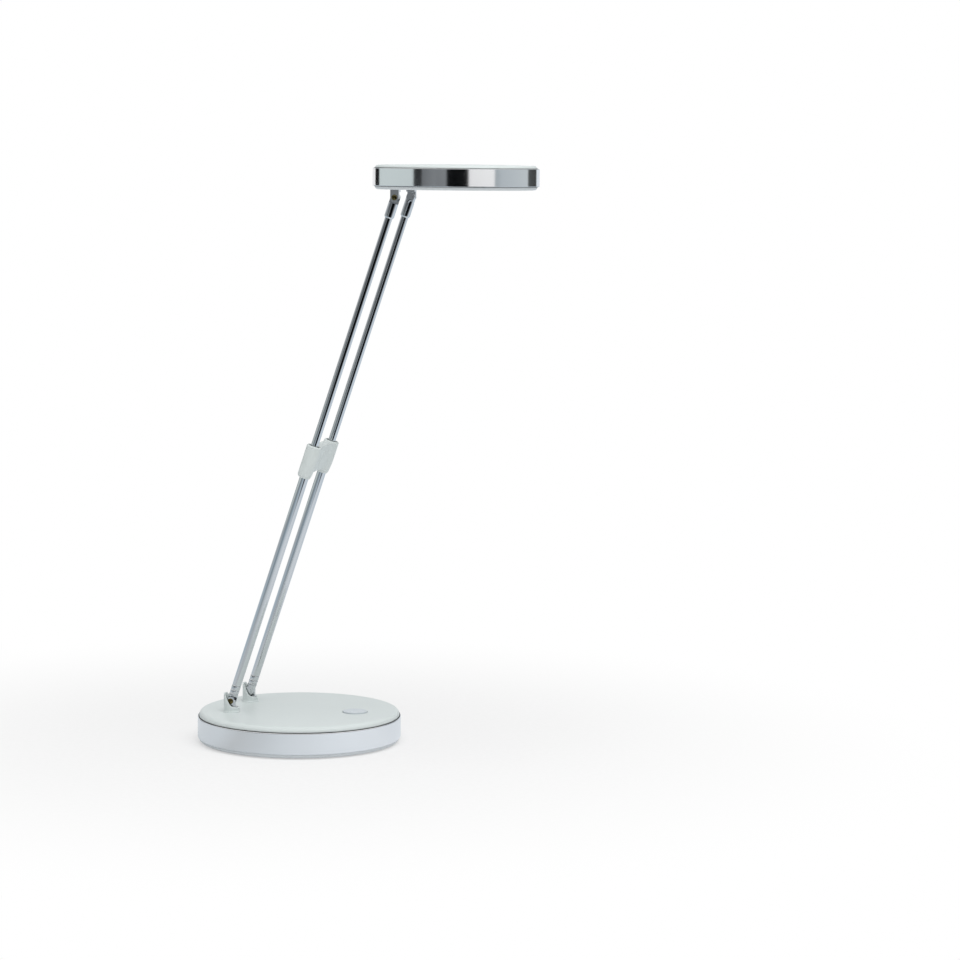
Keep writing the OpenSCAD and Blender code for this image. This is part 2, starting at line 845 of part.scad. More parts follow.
// Leads from the power inlet to the board.
module inlet_leads() {
    z = ballast_top + foot_lead_d * lead_bend / 2 + lead_lift;
    color("dimgray") for (s = [-1, 1]) lead([
        [-inlet_face + inlet_l, s * inlet_pad_y, z],
        [pad_x, s * inlet_pad_y, z],
        [pad_x, s * inlet_pad_y, board_z]
    ], foot_lead_d);
}

// Arms

// A drawn tube, rolled into three grooves over the knuckle at its foot.
module lower_tube() {
    color("silver") difference() {
        tube(tube_r, tube_bore_r, tube_start, tube_end);
        for (u = crimps) translate([0, 0, u]) rotate_extrude()
            translate([tube_r + crimp_r - crimp_t, 0]) circle(r = crimp_r, $fn = 24);
    }
}

// A round end that becomes a half-lap tongue on the +Y side of the arm's line, with a hollow
// mouth round the ear. The pivot is the origin and the stem points along +Z.
module half_lap_end(r, start) {
    difference() {
        union() {
            intersection() {
                cylinder(r = r, h = start);
                union() {
                    block(-r, r, lap_in, lap_out, 0, start);
                    block(-r, r, -r, r, mouth_r, start);
                }
            }
            intersection() {
                bar_y(lap_r, lap_in, lap_out);
                translate([0, 0, -lap_r]) cylinder(r = r + tongue_over, h = 2 * lap_r);
            }
        }
        bar_y(mouth_r, -r - e, lap_in);
        block(-r - e, r + e, lap_out, r + e, -e, mouth_r);
    }
}

module knuckle() {
    plug = knuckle_end - tube_start + e;
    color("silver") difference() {
        union() {
            half_lap_end(tube_r, tube_start);
            translate([0, 0, tube_start - e]) cylinder(r = tube_bore_r, h = plug);
        }
        pivot_hole(0);
    }
}

module tube_front() {
    along_arm() at_front() lower_tube();
}

module tube_rear() {
    along_arm() at_rear() lower_tube();
}

module knuckle_front() {
    along_arm() at_front() knuckle();
}

module knuckle_rear() {
    along_arm() at_rear() knuckle();
}

// The web between the sleeves: waisted in plan, dished above and arched below.
module clamp_web() {
    top = clamp_len / 2 - sleeve_top_edge;
    low = -clamp_len / 2 + web_lift;
    waist_r = sagitta_r(web_root_y, (web_root_t - web_t) / 2);
    dip_r = sagitta_r(web_root_y, web_dip);
    arch_r = sagitta_r(web_root_y, web_arch);
    difference() {
        translate([0, 0, low - e]) linear_extrude(height = top - low + 2 * e) difference() {
            translate([-web_root_t / 2 - e, -web_root_y]) square([web_root_t + 2 * e, 2 * web_root_y]);
            for (s = [-1, 1]) translate([s * (web_t / 2 + waist_r), 0]) circle(r = waist_r, $fn = smooth);
        }
        translate([-web_root_t, 0, top - web_dip + dip_r]) rotate([0, 90, 0])
            cylinder(r = dip_r, h = 2 * web_root_t, $fn = smooth);
        translate([-web_root_t, 0, low + web_arch - arch_r]) rotate([0, 90, 0])
            cylinder(r = arch_r, h = 2 * web_root_t, $fn = smooth);
    }
}

// One moulding that ties the arms together, holds the tubes' upper ends and guides the rods.
module arm_clamp() {
    color("whitesmoke") along_arm() translate([0, 0, clamp_u]) difference() {
        union() {
            at_each_arm() rotate_extrude()
                ring_section(0, sleeve_d / 2, -clamp_len / 2, clamp_len / 2,
                    sleeve_top_edge, sleeve_low_edge);
            clamp_web();
            grip();
        }
        at_each_arm() {
            translate([0, 0, -clamp_len / 2 - e]) cylinder(r = tube_r, h = clamp_len + 2 * e);
            translate([0, 0, tube_end - clamp_u]) cylinder(d = bush_d, h = clamp_top - tube_end + e);
        }
    }
}

// Raised round grip on the front of the web, for the thumb.
module grip() {
    rotate([0, 90, 0]) rotate_extrude()
        ring_section(0, grip_d / 2, 0, web_t / 2 + grip_proud, grip_proud / 2);
}

module guide_bushes() {
    color("dimgray") along_arm() at_each_arm()
        tube(bush_d / 2, rod_r + running, tube_end, tube_end + bush_t);
}

// A drawn rod, turned down at its lower end for the slider.
module upper_rod() {
    color("silver") difference() {
        union() {
            translate([0, 0, slider_top]) cylinder(r = rod_r, h = rod_end - slider_top);
            translate([0, 0, rod_start]) cylinder(r = neck_r, h = slider_top - rod_start + e);
        }
        translate([0, 0, rod_start - e]) cylinder(r = rod_bore_r, h = rod_end - rod_start + 2 * e);
    }
}

module rod_front() {
    along_arm() at_front() upper_rod();
}

module rod_rear() {
    along_arm() at_rear() upper_rod();
}

module rod_sliders() {
    color("darkgoldenrod") along_arm() at_each_arm()
        tube(slider_r, neck_r, rod_start + slider_play, slider_top);
}

// End fitting of a rod, with a bevelled foot and the tongue of the upper pivot.
module ferrule() {
    socket = rod_end - arm_len + ferrule_len + e;
    color("silver") translate([0, 0, arm_len]) difference() {
        rotate([180, 0, 180]) {
            half_lap_end(ferrule_r, ferrule_len - ferrule_bevel);
            translate([0, 0, ferrule_len - ferrule_bevel])
                cylinder(r1 = ferrule_r, r2 = rod_r + ferrule_tip, h = ferrule_bevel);
        }
        translate([0, 0, -ferrule_len - e]) cylinder(r = rod_r, h = socket);
        pivot_hole(0);
    }
}

module ferrule_front() {
    along_arm() at_front() ferrule();
}

module ferrule_rear() {
    along_arm() at_rear() ferrule();
}

module upper_pivot_washers() {
    in_head() at_each_arm() pivot_washer();
}

module upper_pivot_screws() {
    along_arm() at_each_arm() translate([0, 0, arm_len]) pivot_screw();
}

// Head

// A bracket: an ear below the head, and a plate that is screwed down inside it. The plate
// lies square to the radius of the head, clear of the diffuser.
module bracket() {
    w = bracket_w / 2;
    color("silver") difference() {
        union() {
            block(-w, w, -lap_out, lap_out, shoulder_z, head_floor + e);
            block(-w, w, -lap_out, -lap_in, 0, head_floor);
            bar_y(w, -lap_out, -lap_in);
            bracket_plate();
        }
        pivot_hole(running);
        at_bracket_screws() translate([0, 0, head_floor - e])
            cylinder(d = small_screw_d + fit, h = bracket_plate_t + 2 * e);
    }
}

module bracket_plate() {
    rotate([0, 0, bracket_turn]) block(-bracket_plate_l / 2, bracket_plate_l / 2,
        -bracket_plate_w / 2, bracket_plate_w / 2, head_floor, head_floor + bracket_plate_t);
}

module at_bracket_screws() {
    for (s = [-1, 1]) rotate([0, 0, bracket_turn]) translate([s * bracket_screw_x, 0, 0]) children();
}

module bracket_front() {
    in_head() at_front() bracket();
}

module bracket_rear() {
    in_head() at_rear() bracket();
}

module bracket_screws() {
    color("gray") in_head() at_each_arm() at_bracket_screws()
        translate([0, 0, head_floor + bracket_plate_t])
            small_screw(small_screw_d, bracket_plate_t + bracket_bite, small_head_d, small_head_t);
}

module head_band() {
    color("silver") in_head() translate([head_reach, 0, 0]) rotate_extrude()
        ring_section(head_r - band_t, head_r, head_band_z, head_band_top, band_edge, band_edge);
}

// Top cover: a slightly crowned disc with a rolled edge, a skirt that snaps into the housing
// by a bead, and pegs that hold the diode board and its heat spreader down.
module head_cover() {
    inner_r = skirt_r - rib_t;
    crown_edge = shell_r - head_cover_edge;
    spreader_top = led_board_z + led_board_t + spreader_t;
    color("whitesmoke") in_head() translate([head_reach, 0, 0]) {
        rotate_extrude() difference() {
            union() {
                ring_section(0, shell_r, head_band_top, head_top - head_crown, head_cover_edge);
                polygon([
                    [0, head_ceiling + e],
                    for (i = [0 : crown_steps])
                        [crown_edge * i / crown_steps, head_top - head_crown * pow(i / crown_steps, 2)],
                    [crown_edge, head_ceiling + e]
                ]);
                translate([inner_r, skirt_low]) square([rib_t, head_band_top + e - skirt_low]);
                translate([inner_r, skirt_low]) square([rib_t + fit + snap_proud - fit / 2, snap_h]);
            }
            ring_section(-e, inner_r, skirt_low - e, head_ceiling, cover_round);
        }
        for (a = [0 : 120 : 240]) rotate([0, 0, a]) translate([peg_r, 0, spreader_top])
            cylinder(d = peg_d, h = head_ceiling + e - spreader_top);
    }
}

// Housing: the underside with its window, a rim inside the band with a groove for the
// cover's bead, and seats for the brackets.
module head_housing() {
    cut = bracket_w / 2 + bracket_hole;
    groove_z = skirt_low - fit;
    color("gainsboro") in_head() difference() {
        translate([head_reach, 0, 0]) rotate_extrude() difference() {
            union() {
                ring_section(0, shell_r, under_z, head_band_z, 0, housing_edge);
                translate([head_rim_r - rib_t, head_band_z - e])
                    square([rib_t, rim_high - head_band_z + e]);
            }
            translate([-e, head_floor]) square([head_rim_r - rib_t - 1 + e, head_drop]);
            translate([head_rim_r - rib_t - e, groove_z]) square([snap_proud + e, snap_h + 2 * fit]);
        }
        translate([head_reach, 0, under_z - e]) cylinder(d = window_d, h = wall + 2 * e);
        translate([head_reach, 0, lens_z]) cylinder(r = lens_r, h = wall + e);
        at_each_arm() {
            block(-cut, cut, -lap_out - bracket_hole, lap_out + bracket_hole,
                under_z - e, head_floor + e);
            at_bracket_screws() translate([0, 0, head_floor - bracket_hole_t])
                cylinder(d = small_screw_d, h = bracket_hole_t + e);
        }
    }
}

module diffuser() {
    color("aliceblue", 0.7) in_head() translate([head_reach, 0, lens_z])
        cylinder(r = lens_r - fit / 2, h = lens_t);
}

// A white dish between the diffuser and the diode board, with a sloping wall.
module reflector() {
    z0 = lens_z + lens_t;
    h = led_board_z - z0;
    color("white") in_head() translate([head_reach, 0, z0]) rotate_extrude() polygon([
        [dish_foot_r - dish_wall, 0], [dish_foot_r, 0], [dish_top_r, h], [dish_top_r - dish_wall, h]
    ]);
}

module diode_board() {
    color("white") in_head() translate([head_reach, 0, led_board_z])
        cylinder(r = board_r, h = led_board_t);
}

// One diode in the middle, six round it and the rest in an outer ring, facing down.
module diodes() {
    color("khaki") in_head() translate([head_reach, 0, led_board_z - diode_t]) {
        diode();
        for (i = [0 : 5]) rotate([0, 0, i * 60]) translate([diode_rings[0], 0, 0]) diode();
        for (i = [0 : outer_diodes - 1]) rotate([0, 0, i * 360 / outer_diodes])
            translate([diode_rings[1], 0, 0]) diode();
    }
}

module diode() {
    difference() {
        block(-diode_w / 2, diode_w / 2, -diode_w / 2, diode_w / 2, 0, diode_t);
        translate([0, 0, -e]) cylinder(d = diode_lens_d, h = diode_lens_t + e);
    }
}

module heat_spreader() {
    color("lightgray") in_head() translate([head_reach, 0, led_board_z + led_board_t])
        cylinder(r = board_r + 1, h = spreader_t);
}

// Where the leads reach the back of the diode board.
module terminal_block() {
    w = terminal_w / 2;
    z = led_board_z + led_board_t + spreader_t;
    color("ivory") in_head() translate([head_reach - terminal_x, 0, 0]) difference() {
        block(-w, w, -w, w, z, z + terminal_h);
        for (s = [-1, 1]) translate([0, s * w / 2, z + terminal_h / 2])
            cylinder(d = small_screw_d, h = terminal_h);
    }
}

// Leads that rise from the bracket plates and cross the heat spreader.
module head_leads() {
    z = led_board_z + led_board_t + spreader_t + head_lead_d * lead_bend / 2 + lead_lift;
    block_x = head_reach - terminal_x - terminal_w / 2;
    color("firebrick") in_head() for (s = [-1, 1]) lead([
        [0, s * half_gap, head_floor + bracket_plate_t],
        [0, s * half_gap, z],
        [block_x - head_lead_end, s * terminal_w / 4, z],
        [block_x, s * terminal_w / 4, z]
    ], head_lead_d);
}

foot_pad();
foot_tray();
foot_band();
foot_cover();
hood_front();
hood_rear();
foot_screws();
ballast();
post_front();
post_rear();
post_screws();
lower_pivot_washers();
lower_pivot_screws();
button_cap();
switch_plunger();
switch_body();
driver_board();
board_screws();
coil_and_capacitors();
power_inlet();
inlet_pin();
foot_leads();
inlet_leads();
tube_front();
tube_rear();
knuckle_front();
knuckle_rear();
arm_clamp();
guide_bushes();
rod_front();
rod_rear();
rod_sliders();
ferrule_front();
ferrule_rear();
upper_pivot_washers();
upper_pivot_screws();
head_band();
head_cover();
head_housing();
diffuser();
reflector();
diode_board();
diodes();
heat_spreader();
terminal_block();
bracket_front();
bracket_rear();
bracket_screws();
head_leads();
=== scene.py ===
import json
import math

import bpy
from bpy.props import FloatProperty, FloatVectorProperty, IntProperty, PointerProperty
from mathutils import Matrix, Vector

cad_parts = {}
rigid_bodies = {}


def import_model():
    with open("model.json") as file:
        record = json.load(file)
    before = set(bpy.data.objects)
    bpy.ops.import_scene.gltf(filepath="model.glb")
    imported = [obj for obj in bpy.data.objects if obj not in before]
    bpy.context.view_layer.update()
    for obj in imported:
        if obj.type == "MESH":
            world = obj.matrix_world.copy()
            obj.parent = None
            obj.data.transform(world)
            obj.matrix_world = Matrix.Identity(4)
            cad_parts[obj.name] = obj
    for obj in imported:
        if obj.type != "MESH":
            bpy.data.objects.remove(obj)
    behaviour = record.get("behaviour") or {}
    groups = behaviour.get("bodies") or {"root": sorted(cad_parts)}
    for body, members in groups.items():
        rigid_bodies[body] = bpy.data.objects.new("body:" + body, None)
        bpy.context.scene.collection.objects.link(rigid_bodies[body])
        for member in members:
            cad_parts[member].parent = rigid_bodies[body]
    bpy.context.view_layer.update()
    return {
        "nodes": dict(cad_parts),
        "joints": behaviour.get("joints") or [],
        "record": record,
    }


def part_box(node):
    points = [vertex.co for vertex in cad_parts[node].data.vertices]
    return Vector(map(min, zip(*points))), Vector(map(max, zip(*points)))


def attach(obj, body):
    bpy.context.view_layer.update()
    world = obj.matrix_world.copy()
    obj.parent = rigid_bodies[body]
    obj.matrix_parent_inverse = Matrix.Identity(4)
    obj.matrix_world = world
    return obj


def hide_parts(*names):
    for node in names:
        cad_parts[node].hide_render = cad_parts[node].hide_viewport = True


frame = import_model()
NODES = frame["nodes"]

bl_info = {
    "name": "Telescopic desk lamp",
    "version": (1, 0, 0),
    "blender": (4, 5, 0),
    "location": "3D View > Sidebar > Desk lamp",
    "description": "Dresses the packed desk lamp: fine forms, finishes and a plain studio",
    "category": "Add Mesh",
}

# One millimetre, in the metres that Blender works in
MM = 0.001


def linear(code):
    """Turns an sRGB colour such as d3dcdb into Blender's linear red, green and blue."""
    parts = [int(code[i:i + 2], 16) / 255 for i in (0, 2, 4)]
    return tuple(c / 12.92 if c <= 0.04045 else ((c + 0.055) / 1.055) ** 2.4 for c in parts)


def grey(value):
    """A grey with full opacity, for a colour socket."""
    return (value, value, value, 1)


# Sizes and colours

class LampColours(bpy.types.PropertyGroup):
    cover_white: FloatVectorProperty(
        name="Cover white", description="Moulded covers, hoods and clamp",
        subtype="COLOR", min=0, max=1, default=linear("d6dedd"))
    edge_white: FloatVectorProperty(
        name="Edge white", description="The foot's tray and the head's housing",
        subtype="COLOR", min=0, max=1, default=linear("d6dcdf"))
    button_silver: FloatVectorProperty(
        name="Button silver", description="Painted push button",
        subtype="COLOR", min=0, max=1, default=linear("cdd5da"))
    chrome: FloatVectorProperty(
        name="Chrome", description="The bright bands round the foot and the head",
        subtype="COLOR", min=0, max=1, default=linear("f8fafb"))
    steel: FloatVectorProperty(
        name="Polished steel", description="Tubes, rods, end fittings, posts and brackets",
        subtype="COLOR", min=0, max=1, default=linear("d8dadc"))
    brass: FloatVectorProperty(
        name="Brass", description="Sliders inside the lower tubes",
        subtype="COLOR", min=0, max=1, default=linear("c9b072"))


class LampFinish(bpy.types.PropertyGroup):
    spark: FloatProperty(
        name="Spark texture", description="Depth of the fine grain on the mouldings",
        default=0.012 * MM, min=0, max=0.1 * MM, subtype="DISTANCE", unit="LENGTH", precision=6)
    smudge: FloatProperty(
        name="Smudges", description="How much handling dulls the chrome in places",
        default=0.05, min=0, max=0.3, subtype="FACTOR")


class LampShape(bpy.types.PropertyGroup):
    hood_height: FloatProperty(
        name="Hood height", description="Height of the hoods as a share of the packed ones",
        default=0.925, min=0.8, max=1, subtype="FACTOR")
    hood_sink: FloatProperty(
        name="Hood sink", description="How far the hoods' feet sink into the cover",
        default=0.3 * MM, min=0, max=1 * MM, subtype="DISTANCE", unit="LENGTH", precision=6)
    hood_grid: FloatProperty(
        name="Hood grid", description="Fineness of the hoods' surface",
        default=0.18 * MM, min=0.1 * MM, max=0.5 * MM,
        subtype="DISTANCE", unit="LENGTH", precision=6)
    hood_rounds: IntProperty(
        name="Hood softness", description="How far the hoods' edges are rounded",
        default=6, min=0, max=40)
    clamp_length: FloatProperty(
        name="Clamp length", description="Length of the clamp as a share of the packed one",
        default=0.955, min=0.9, max=1, subtype="FACTOR")
    web: FloatProperty(
        name="Clamp web", description="Thickness of the clamp's web at its middle",
        default=5.4 * MM, min=4 * MM, max=6 * MM, subtype="DISTANCE", unit="LENGTH", precision=6)
    grip_height: FloatProperty(
        name="Grip height",
        description="Height of the clamp's thumb grip as a share of the packed one",
        default=0.45, min=0, max=1, subtype="FACTOR")
    clamp_grid: FloatProperty(
        name="Clamp grid", description="Fineness of the clamp's surface",
        default=0.3 * MM, min=0.15 * MM, max=0.6 * MM,
        subtype="DISTANCE", unit="LENGTH", precision=6)
    clamp_rounds: IntProperty(
        name="Clamp softness", description="How far the clamp's edges are rounded",
        default=14, min=0, max=40)
    sleeve: FloatProperty(
        name="Sleeve radius", description="How far from the tubes' axes the open web begins",
        default=4.8 * MM, min=4 * MM, max=6 * MM, subtype="DISTANCE", unit="LENGTH", precision=6)
    dip: FloatProperty(
        name="Web dip",
        description="How deep the web's upper edge dips, as a share of the packed one",
        default=0.3, min=0, max=1, subtype="FACTOR")
    taper: FloatProperty(
        name="Sleeve taper", description="How much of the clamp's length its sleeves taper over",
        default=0.55, min=0.1, max=1, subtype="FACTOR")
    taper_depth: FloatProperty(
        name="Taper depth",
        description="How much of the sleeves' outer wall the taper takes at the end",
        default=0.75, min=0, max=0.8, subtype="FACTOR")
    tube_wall: FloatProperty(
        name="Tube wall", description="Wall of the lower tubes",
        default=0.3 * MM, min=0.1 * MM, max=0.5 * MM,
        subtype="DISTANCE", unit="LENGTH", precision=6)
    grooves: FloatVectorProperty(
        name="Grooves", description="How far up the lower tubes the rolled grooves lie",
        default=(1.0 * MM, 3.1 * MM, 6.1 * MM), subtype="XYZ", unit="LENGTH", precision=6)
    groove_width: FloatProperty(
        name="Groove width", description="Width of a rolled groove",
        default=0.7 * MM, min=0.2 * MM, max=2 * MM, subtype="DISTANCE", unit="LENGTH", precision=6)
    groove_depth: FloatProperty(
        name="Groove depth", description="Depth of a rolled groove",
        default=0.28 * MM, min=0, max=0.28 * MM, subtype="DISTANCE", unit="LENGTH", precision=6)
    screw_shank: FloatProperty(
        name="Pivot screw shank", description="Diameter of the pivot screws' shanks",
        default=2.4 * MM, min=1 * MM, max=3 * MM, subtype="DISTANCE", unit="LENGTH", precision=6)
    screw_end: FloatProperty(
        name="Pivot screw end", description="How far the shanks reach past the arms' middle plane",
        default=2.7 * MM, min=0, max=3 * MM, subtype="DISTANCE", unit="LENGTH", precision=6)
    screw_head_height: FloatProperty(
        name="Pivot screw head", description="Height of the pivot screws' domed heads",
        default=0.75 * MM, min=0.4 * MM, max=1 * MM, subtype="DISTANCE", unit="LENGTH", precision=6)
    screw_rim: FloatProperty(
        name="Pivot screw rim", description="Height of the heads' straight rim below the dome",
        default=0.25 * MM, min=0.1 * MM, max=0.4 * MM,
        subtype="DISTANCE", unit="LENGTH", precision=6)
    recess: FloatProperty(
        name="Cross recess", description="Length of the cross recess in the pivot screws",
        default=2.0 * MM, min=1 * MM, max=3 * MM, subtype="DISTANCE", unit="LENGTH", precision=6)
    recess_depth: FloatProperty(
        name="Recess depth", description="Depth of the cross recess",
        default=0.6 * MM, min=0.2 * MM, max=1 * MM, subtype="DISTANCE", unit="LENGTH", precision=6)
    recess_turn: FloatProperty(
        name="Recess turn", description="How the crosses happen to stand once screwed in",
        default=math.radians(28), subtype="ANGLE", unit="ROTATION")
    eased: FloatProperty(
        name="Eased edges", description="Width of the broken edges on the metal fittings",
        default=0.12 * MM, min=0, max=0.3 * MM, subtype="DISTANCE", unit="LENGTH", precision=6)
    band_wall: FloatProperty(
        name="Band wall", description="Radial thickness of the head's band",
        default=1.8 * MM, min=1.5 * MM, max=2 * MM, subtype="DISTANCE", unit="LENGTH", precision=6)
    band_step: FloatProperty(
        name="Band step", description="How far the head's band stands out round its cover",
        default=1.25 * MM, min=0.8 * MM, max=1.3 * MM,
        subtype="DISTANCE", unit="LENGTH", precision=6)
    band_lip: FloatProperty(
        name="Band lip", description="How far the band laps over the cover and the housing",
        default=0.45 * MM, min=0, max=0.8 * MM, subtype="DISTANCE", unit="LENGTH", precision=6)
    # The band's dark seals are painted shade: black collars where the gaps over and under the band
    # would be dark
    band_painted_gaps: FloatProperty(
        name="Band seal", description="Height of the dark seals that show over and under the band",
        default=0.3 * MM, min=0.1 * MM, max=0.6 * MM,
        subtype="DISTANCE", unit="LENGTH", precision=6)
    # This setting and the next two shape the foot's black ring: painted shade where the gap between
    # band and cover would be dark
    foot_painted_gap: FloatProperty(
        name="Foot seal", description="Height of the dark seal that shows above the foot's band",
        default=0.35 * MM, min=0.1 * MM, max=0.6 * MM,
        subtype="DISTANCE", unit="LENGTH", precision=6)
    foot_painted_gap_inset: FloatProperty(
        name="Foot seal inset",
        description="How far the foot's seal stands back from the band's face",
        default=0.4 * MM, min=0.1 * MM, max=1 * MM, subtype="DISTANCE", unit="LENGTH", precision=6)
    foot_painted_gap_width: FloatProperty(
        name="Foot seal width",
        description="How far in the foot's seal reaches from the band's face",
        default=1.3 * MM, min=0.8 * MM, max=2 * MM, subtype="DISTANCE", unit="LENGTH", precision=6)
    lens_ledge: FloatProperty(
        name="Lens rim", description="Width of the lens's flat rim behind the housing's ledge",
        default=2.3 * MM, min=1 * MM, max=4 * MM, subtype="DISTANCE", unit="LENGTH", precision=6)
    lens_dome: FloatProperty(
        name="Lens dome", description="How far the middle of the lens bulges downwards",
        default=0.5 * MM, min=0, max=0.7 * MM, subtype="DISTANCE", unit="LENGTH", precision=6)


class LampStudio(bpy.types.PropertyGroup):
    floor_radius: FloatProperty(
        name="Table radius", description="Radius of the pale table that the lamp stands on",
        default=2.9, min=0.5, max=5, subtype="DISTANCE", unit="LENGTH")
    wall_radius: FloatProperty(
        name="Wall radius", description="Radius of the ring of cards that the chrome mirrors",
        default=3.0, min=2.2, max=8, subtype="DISTANCE", unit="LENGTH")
    dim_distance: FloatProperty(
        name="Dim distance",
        description="How far out on the table the chrome still mirrors it bright",
        default=3.0, min=1, max=6, subtype="DISTANCE", unit="LENGTH")
    sky: FloatProperty(
        name="Room light", description="Strength of the even light from all round",
        default=0.5, min=0, max=2)
    overhead: FloatProperty(
        name="Overhead light", description="Power of the large softbox above",
        default=36, min=0, max=500, subtype="POWER", unit="POWER")
    azimuth: FloatProperty(
        name="View azimuth", description="Where the photograph was taken from, round the lamp",
        default=math.radians(13.128), subtype="ANGLE", unit="ROTATION")
    elevation: FloatProperty(
        name="View elevation", description="How far the camera looks down",
        default=math.radians(6.062), subtype="ANGLE", unit="ROTATION")
    roll: FloatProperty(
        name="View roll", description="How far the camera is tilted to one side",
        default=math.radians(0.49), subtype="ANGLE", unit="ROTATION")
    distance: FloatProperty(
        name="View distance", description="How far the camera stands from the point it aims at",
        default=1854.768 * MM, min=0.5, max=10, subtype="DISTANCE", unit="LENGTH", precision=6)
    aim_across: FloatProperty(
        name="Aim across", description="How far to the right of the lamp's foot the camera aims",
        default=110.1358 * MM, min=-1, max=1, subtype="DISTANCE", unit="LENGTH", precision=6)
    aim_height: FloatProperty(
        name="Aim height", description="How high above the table the camera aims",
        default=162.5331 * MM, min=0, max=1, subtype="DISTANCE", unit="LENGTH", precision=6)
    lens: FloatProperty(
        name="Focal length", description="Focal length for a 36 mm frame, in millimetres",
        default=113.66, min=20, max=300)


# Materials

# Sizes of the patterns. Spark texture and drawn lines are really some hundredths of a
# millimetre wide, too fine to show, so these two are drawn coarser.
CLOUD = 35.7 * MM
SPARK_GRAIN = 0.385 * MM
HAND_MARK = 22.2 * MM
DRAWN_LINE = 0.556 * MM
TABLE_GRAIN = 3.33 * MM
# Across to along, for lines and marks that drawing stretches
DRAWN_OUT = 0.02
# How deep drawn lines cut into a mirror finish
LINE_DEPTH = 0.0001 * MM
# How far light wanders inside opal acrylic
SCATTER = 2 * MM


def add_node(tree, kind, inputs=None, **settings):
    """Adds a node with its settings, its values and its links."""
    node = tree.nodes.new(kind)
    for name, value in settings.items():
        setattr(node, name, value)
    for key, value in (inputs or {}).items():
        if isinstance(value, bpy.types.NodeSocket):
            tree.links.new(value, node.inputs[key])
        else:
            node.inputs[key].default_value = value
    return node


def new_material(name):
    """An empty node material, with its tree and the place of each point on a piece."""
    material = bpy.data.materials.new(name)
    material.use_nodes = True
    tree = material.node_tree
    tree.nodes.clear()
    return material, tree, add_node(tree, "ShaderNodeTexCoord").outputs["Object"]


def shade(colour, share=1.0):
    """A colour for a socket, whole or darkened to a share."""
    return tuple(c * share for c in colour) + (1,)


def noise(tree, place, size, detail=2.0):
    """Random clouds of a real size."""
    return add_node(tree, "ShaderNodeTexNoise", {
        "Vector": place, "Scale": 1 / size, "Detail": detail}).outputs["Fac"]


def ramp(tree, value, stops):
    """Colours along a value from 0 to 1, each stop with its place and its colour."""
    node = add_node(tree, "ShaderNodeValToRGB", {"Fac": value})
    points = node.color_ramp.elements
    while len(points) < len(stops):
        points.new(0.5)
    for point, (place, colour) in zip(points, stops):
        point.position = place
        point.color = colour
    return node.outputs["Color"]


def ease(tree, value, start, end, first=0.0, last=1.0):
    """Goes softly from a first to a last number, while a value goes from start to end."""
    return add_node(tree, "ShaderNodeMapRange", {
        "Value": value, "From Min": start, "From Max": end, "To Min": first, "To Max": last},
        interpolation_type="SMOOTHSTEP").outputs["Result"]


def blend(tree, share, first, second):
    """A colour between two others."""
    return add_node(tree, "ShaderNodeMix", {
        "Factor": share, 6: first, 7: second}, data_type="RGBA").outputs[2]


def mix(tree, share, first, second):
    """A shader between two others."""
    return add_node(tree, "ShaderNodeMixShader", {0: share, 1: first, 2: second}).outputs[0]


def moulded_plastic(name, colour, roughness, spark, opal=0.0):
    """Injection-moulded plastic: one colour with faint clouds in it, and a fine spark-eroded
    grain that breaks up the highlights. Opal plastic scatters the light inside as well."""
    material, tree, place = new_material(name)
    tint = ramp(tree, noise(tree, place, CLOUD, 3.0), [
        (0.3, shade(colour, 0.975)), (0.7, shade(colour))])
    grain = noise(tree, place, SPARK_GRAIN)
    sheen = add_node(tree, "ShaderNodeMapRange", {
        "Value": grain, "From Min": 0.3, "From Max": 0.7,
        "To Min": roughness - 0.04, "To Max": roughness + 0.05}).outputs["Result"]
    relief = add_node(tree, "ShaderNodeBump", {
        "Height": grain, "Strength": 0.6, "Distance": spark}).outputs["Normal"]
    surface = add_node(tree, "ShaderNodeBsdfPrincipled", {
        "Base Color": tint, "Roughness": sheen, "Normal": relief,
        "Subsurface Weight": opal, "Subsurface Scale": SCATTER}).outputs["BSDF"]
    add_node(tree, "ShaderNodeOutputMaterial", {"Surface": surface})
    return material


def plated_metal(name, colour, roughness, smudge, along=None):
    """Metal, plated or bare: a mirror, clear or dull, with faint handling marks in it and, where
    it is drawn, fine lines along its length."""
    material, tree, place = new_material(name)
    if along is not None:
        place = add_node(tree, "ShaderNodeMapping", {
            "Vector": place, "Rotation": along, "Scale": (1, 1, DRAWN_OUT)}).outputs["Vector"]
    marks = noise(tree, place, HAND_MARK, 4.0)
    dull = add_node(tree, "ShaderNodeMapRange", {
        "Value": marks, "From Min": 0.45, "From Max": 0.75,
        "To Min": roughness, "To Max": roughness + smudge}).outputs["Result"]
    tone = ramp(tree, marks, [(0.35, shade(colour)), (0.8, shade(colour, 0.94))])
    relief = add_node(tree, "ShaderNodeBump", {
        "Height": noise(tree, place, DRAWN_LINE, 1.0), "Strength": 0.15,
        "Distance": LINE_DEPTH}).outputs["Normal"]
    surface = add_node(tree, "ShaderNodeBsdfPrincipled", {
        "Base Color": tone, "Metallic": 1.0, "Roughness": dull,
        "Normal": relief}).outputs["BSDF"]
    add_node(tree, "ShaderNodeOutputMaterial", {"Surface": surface})
    return material


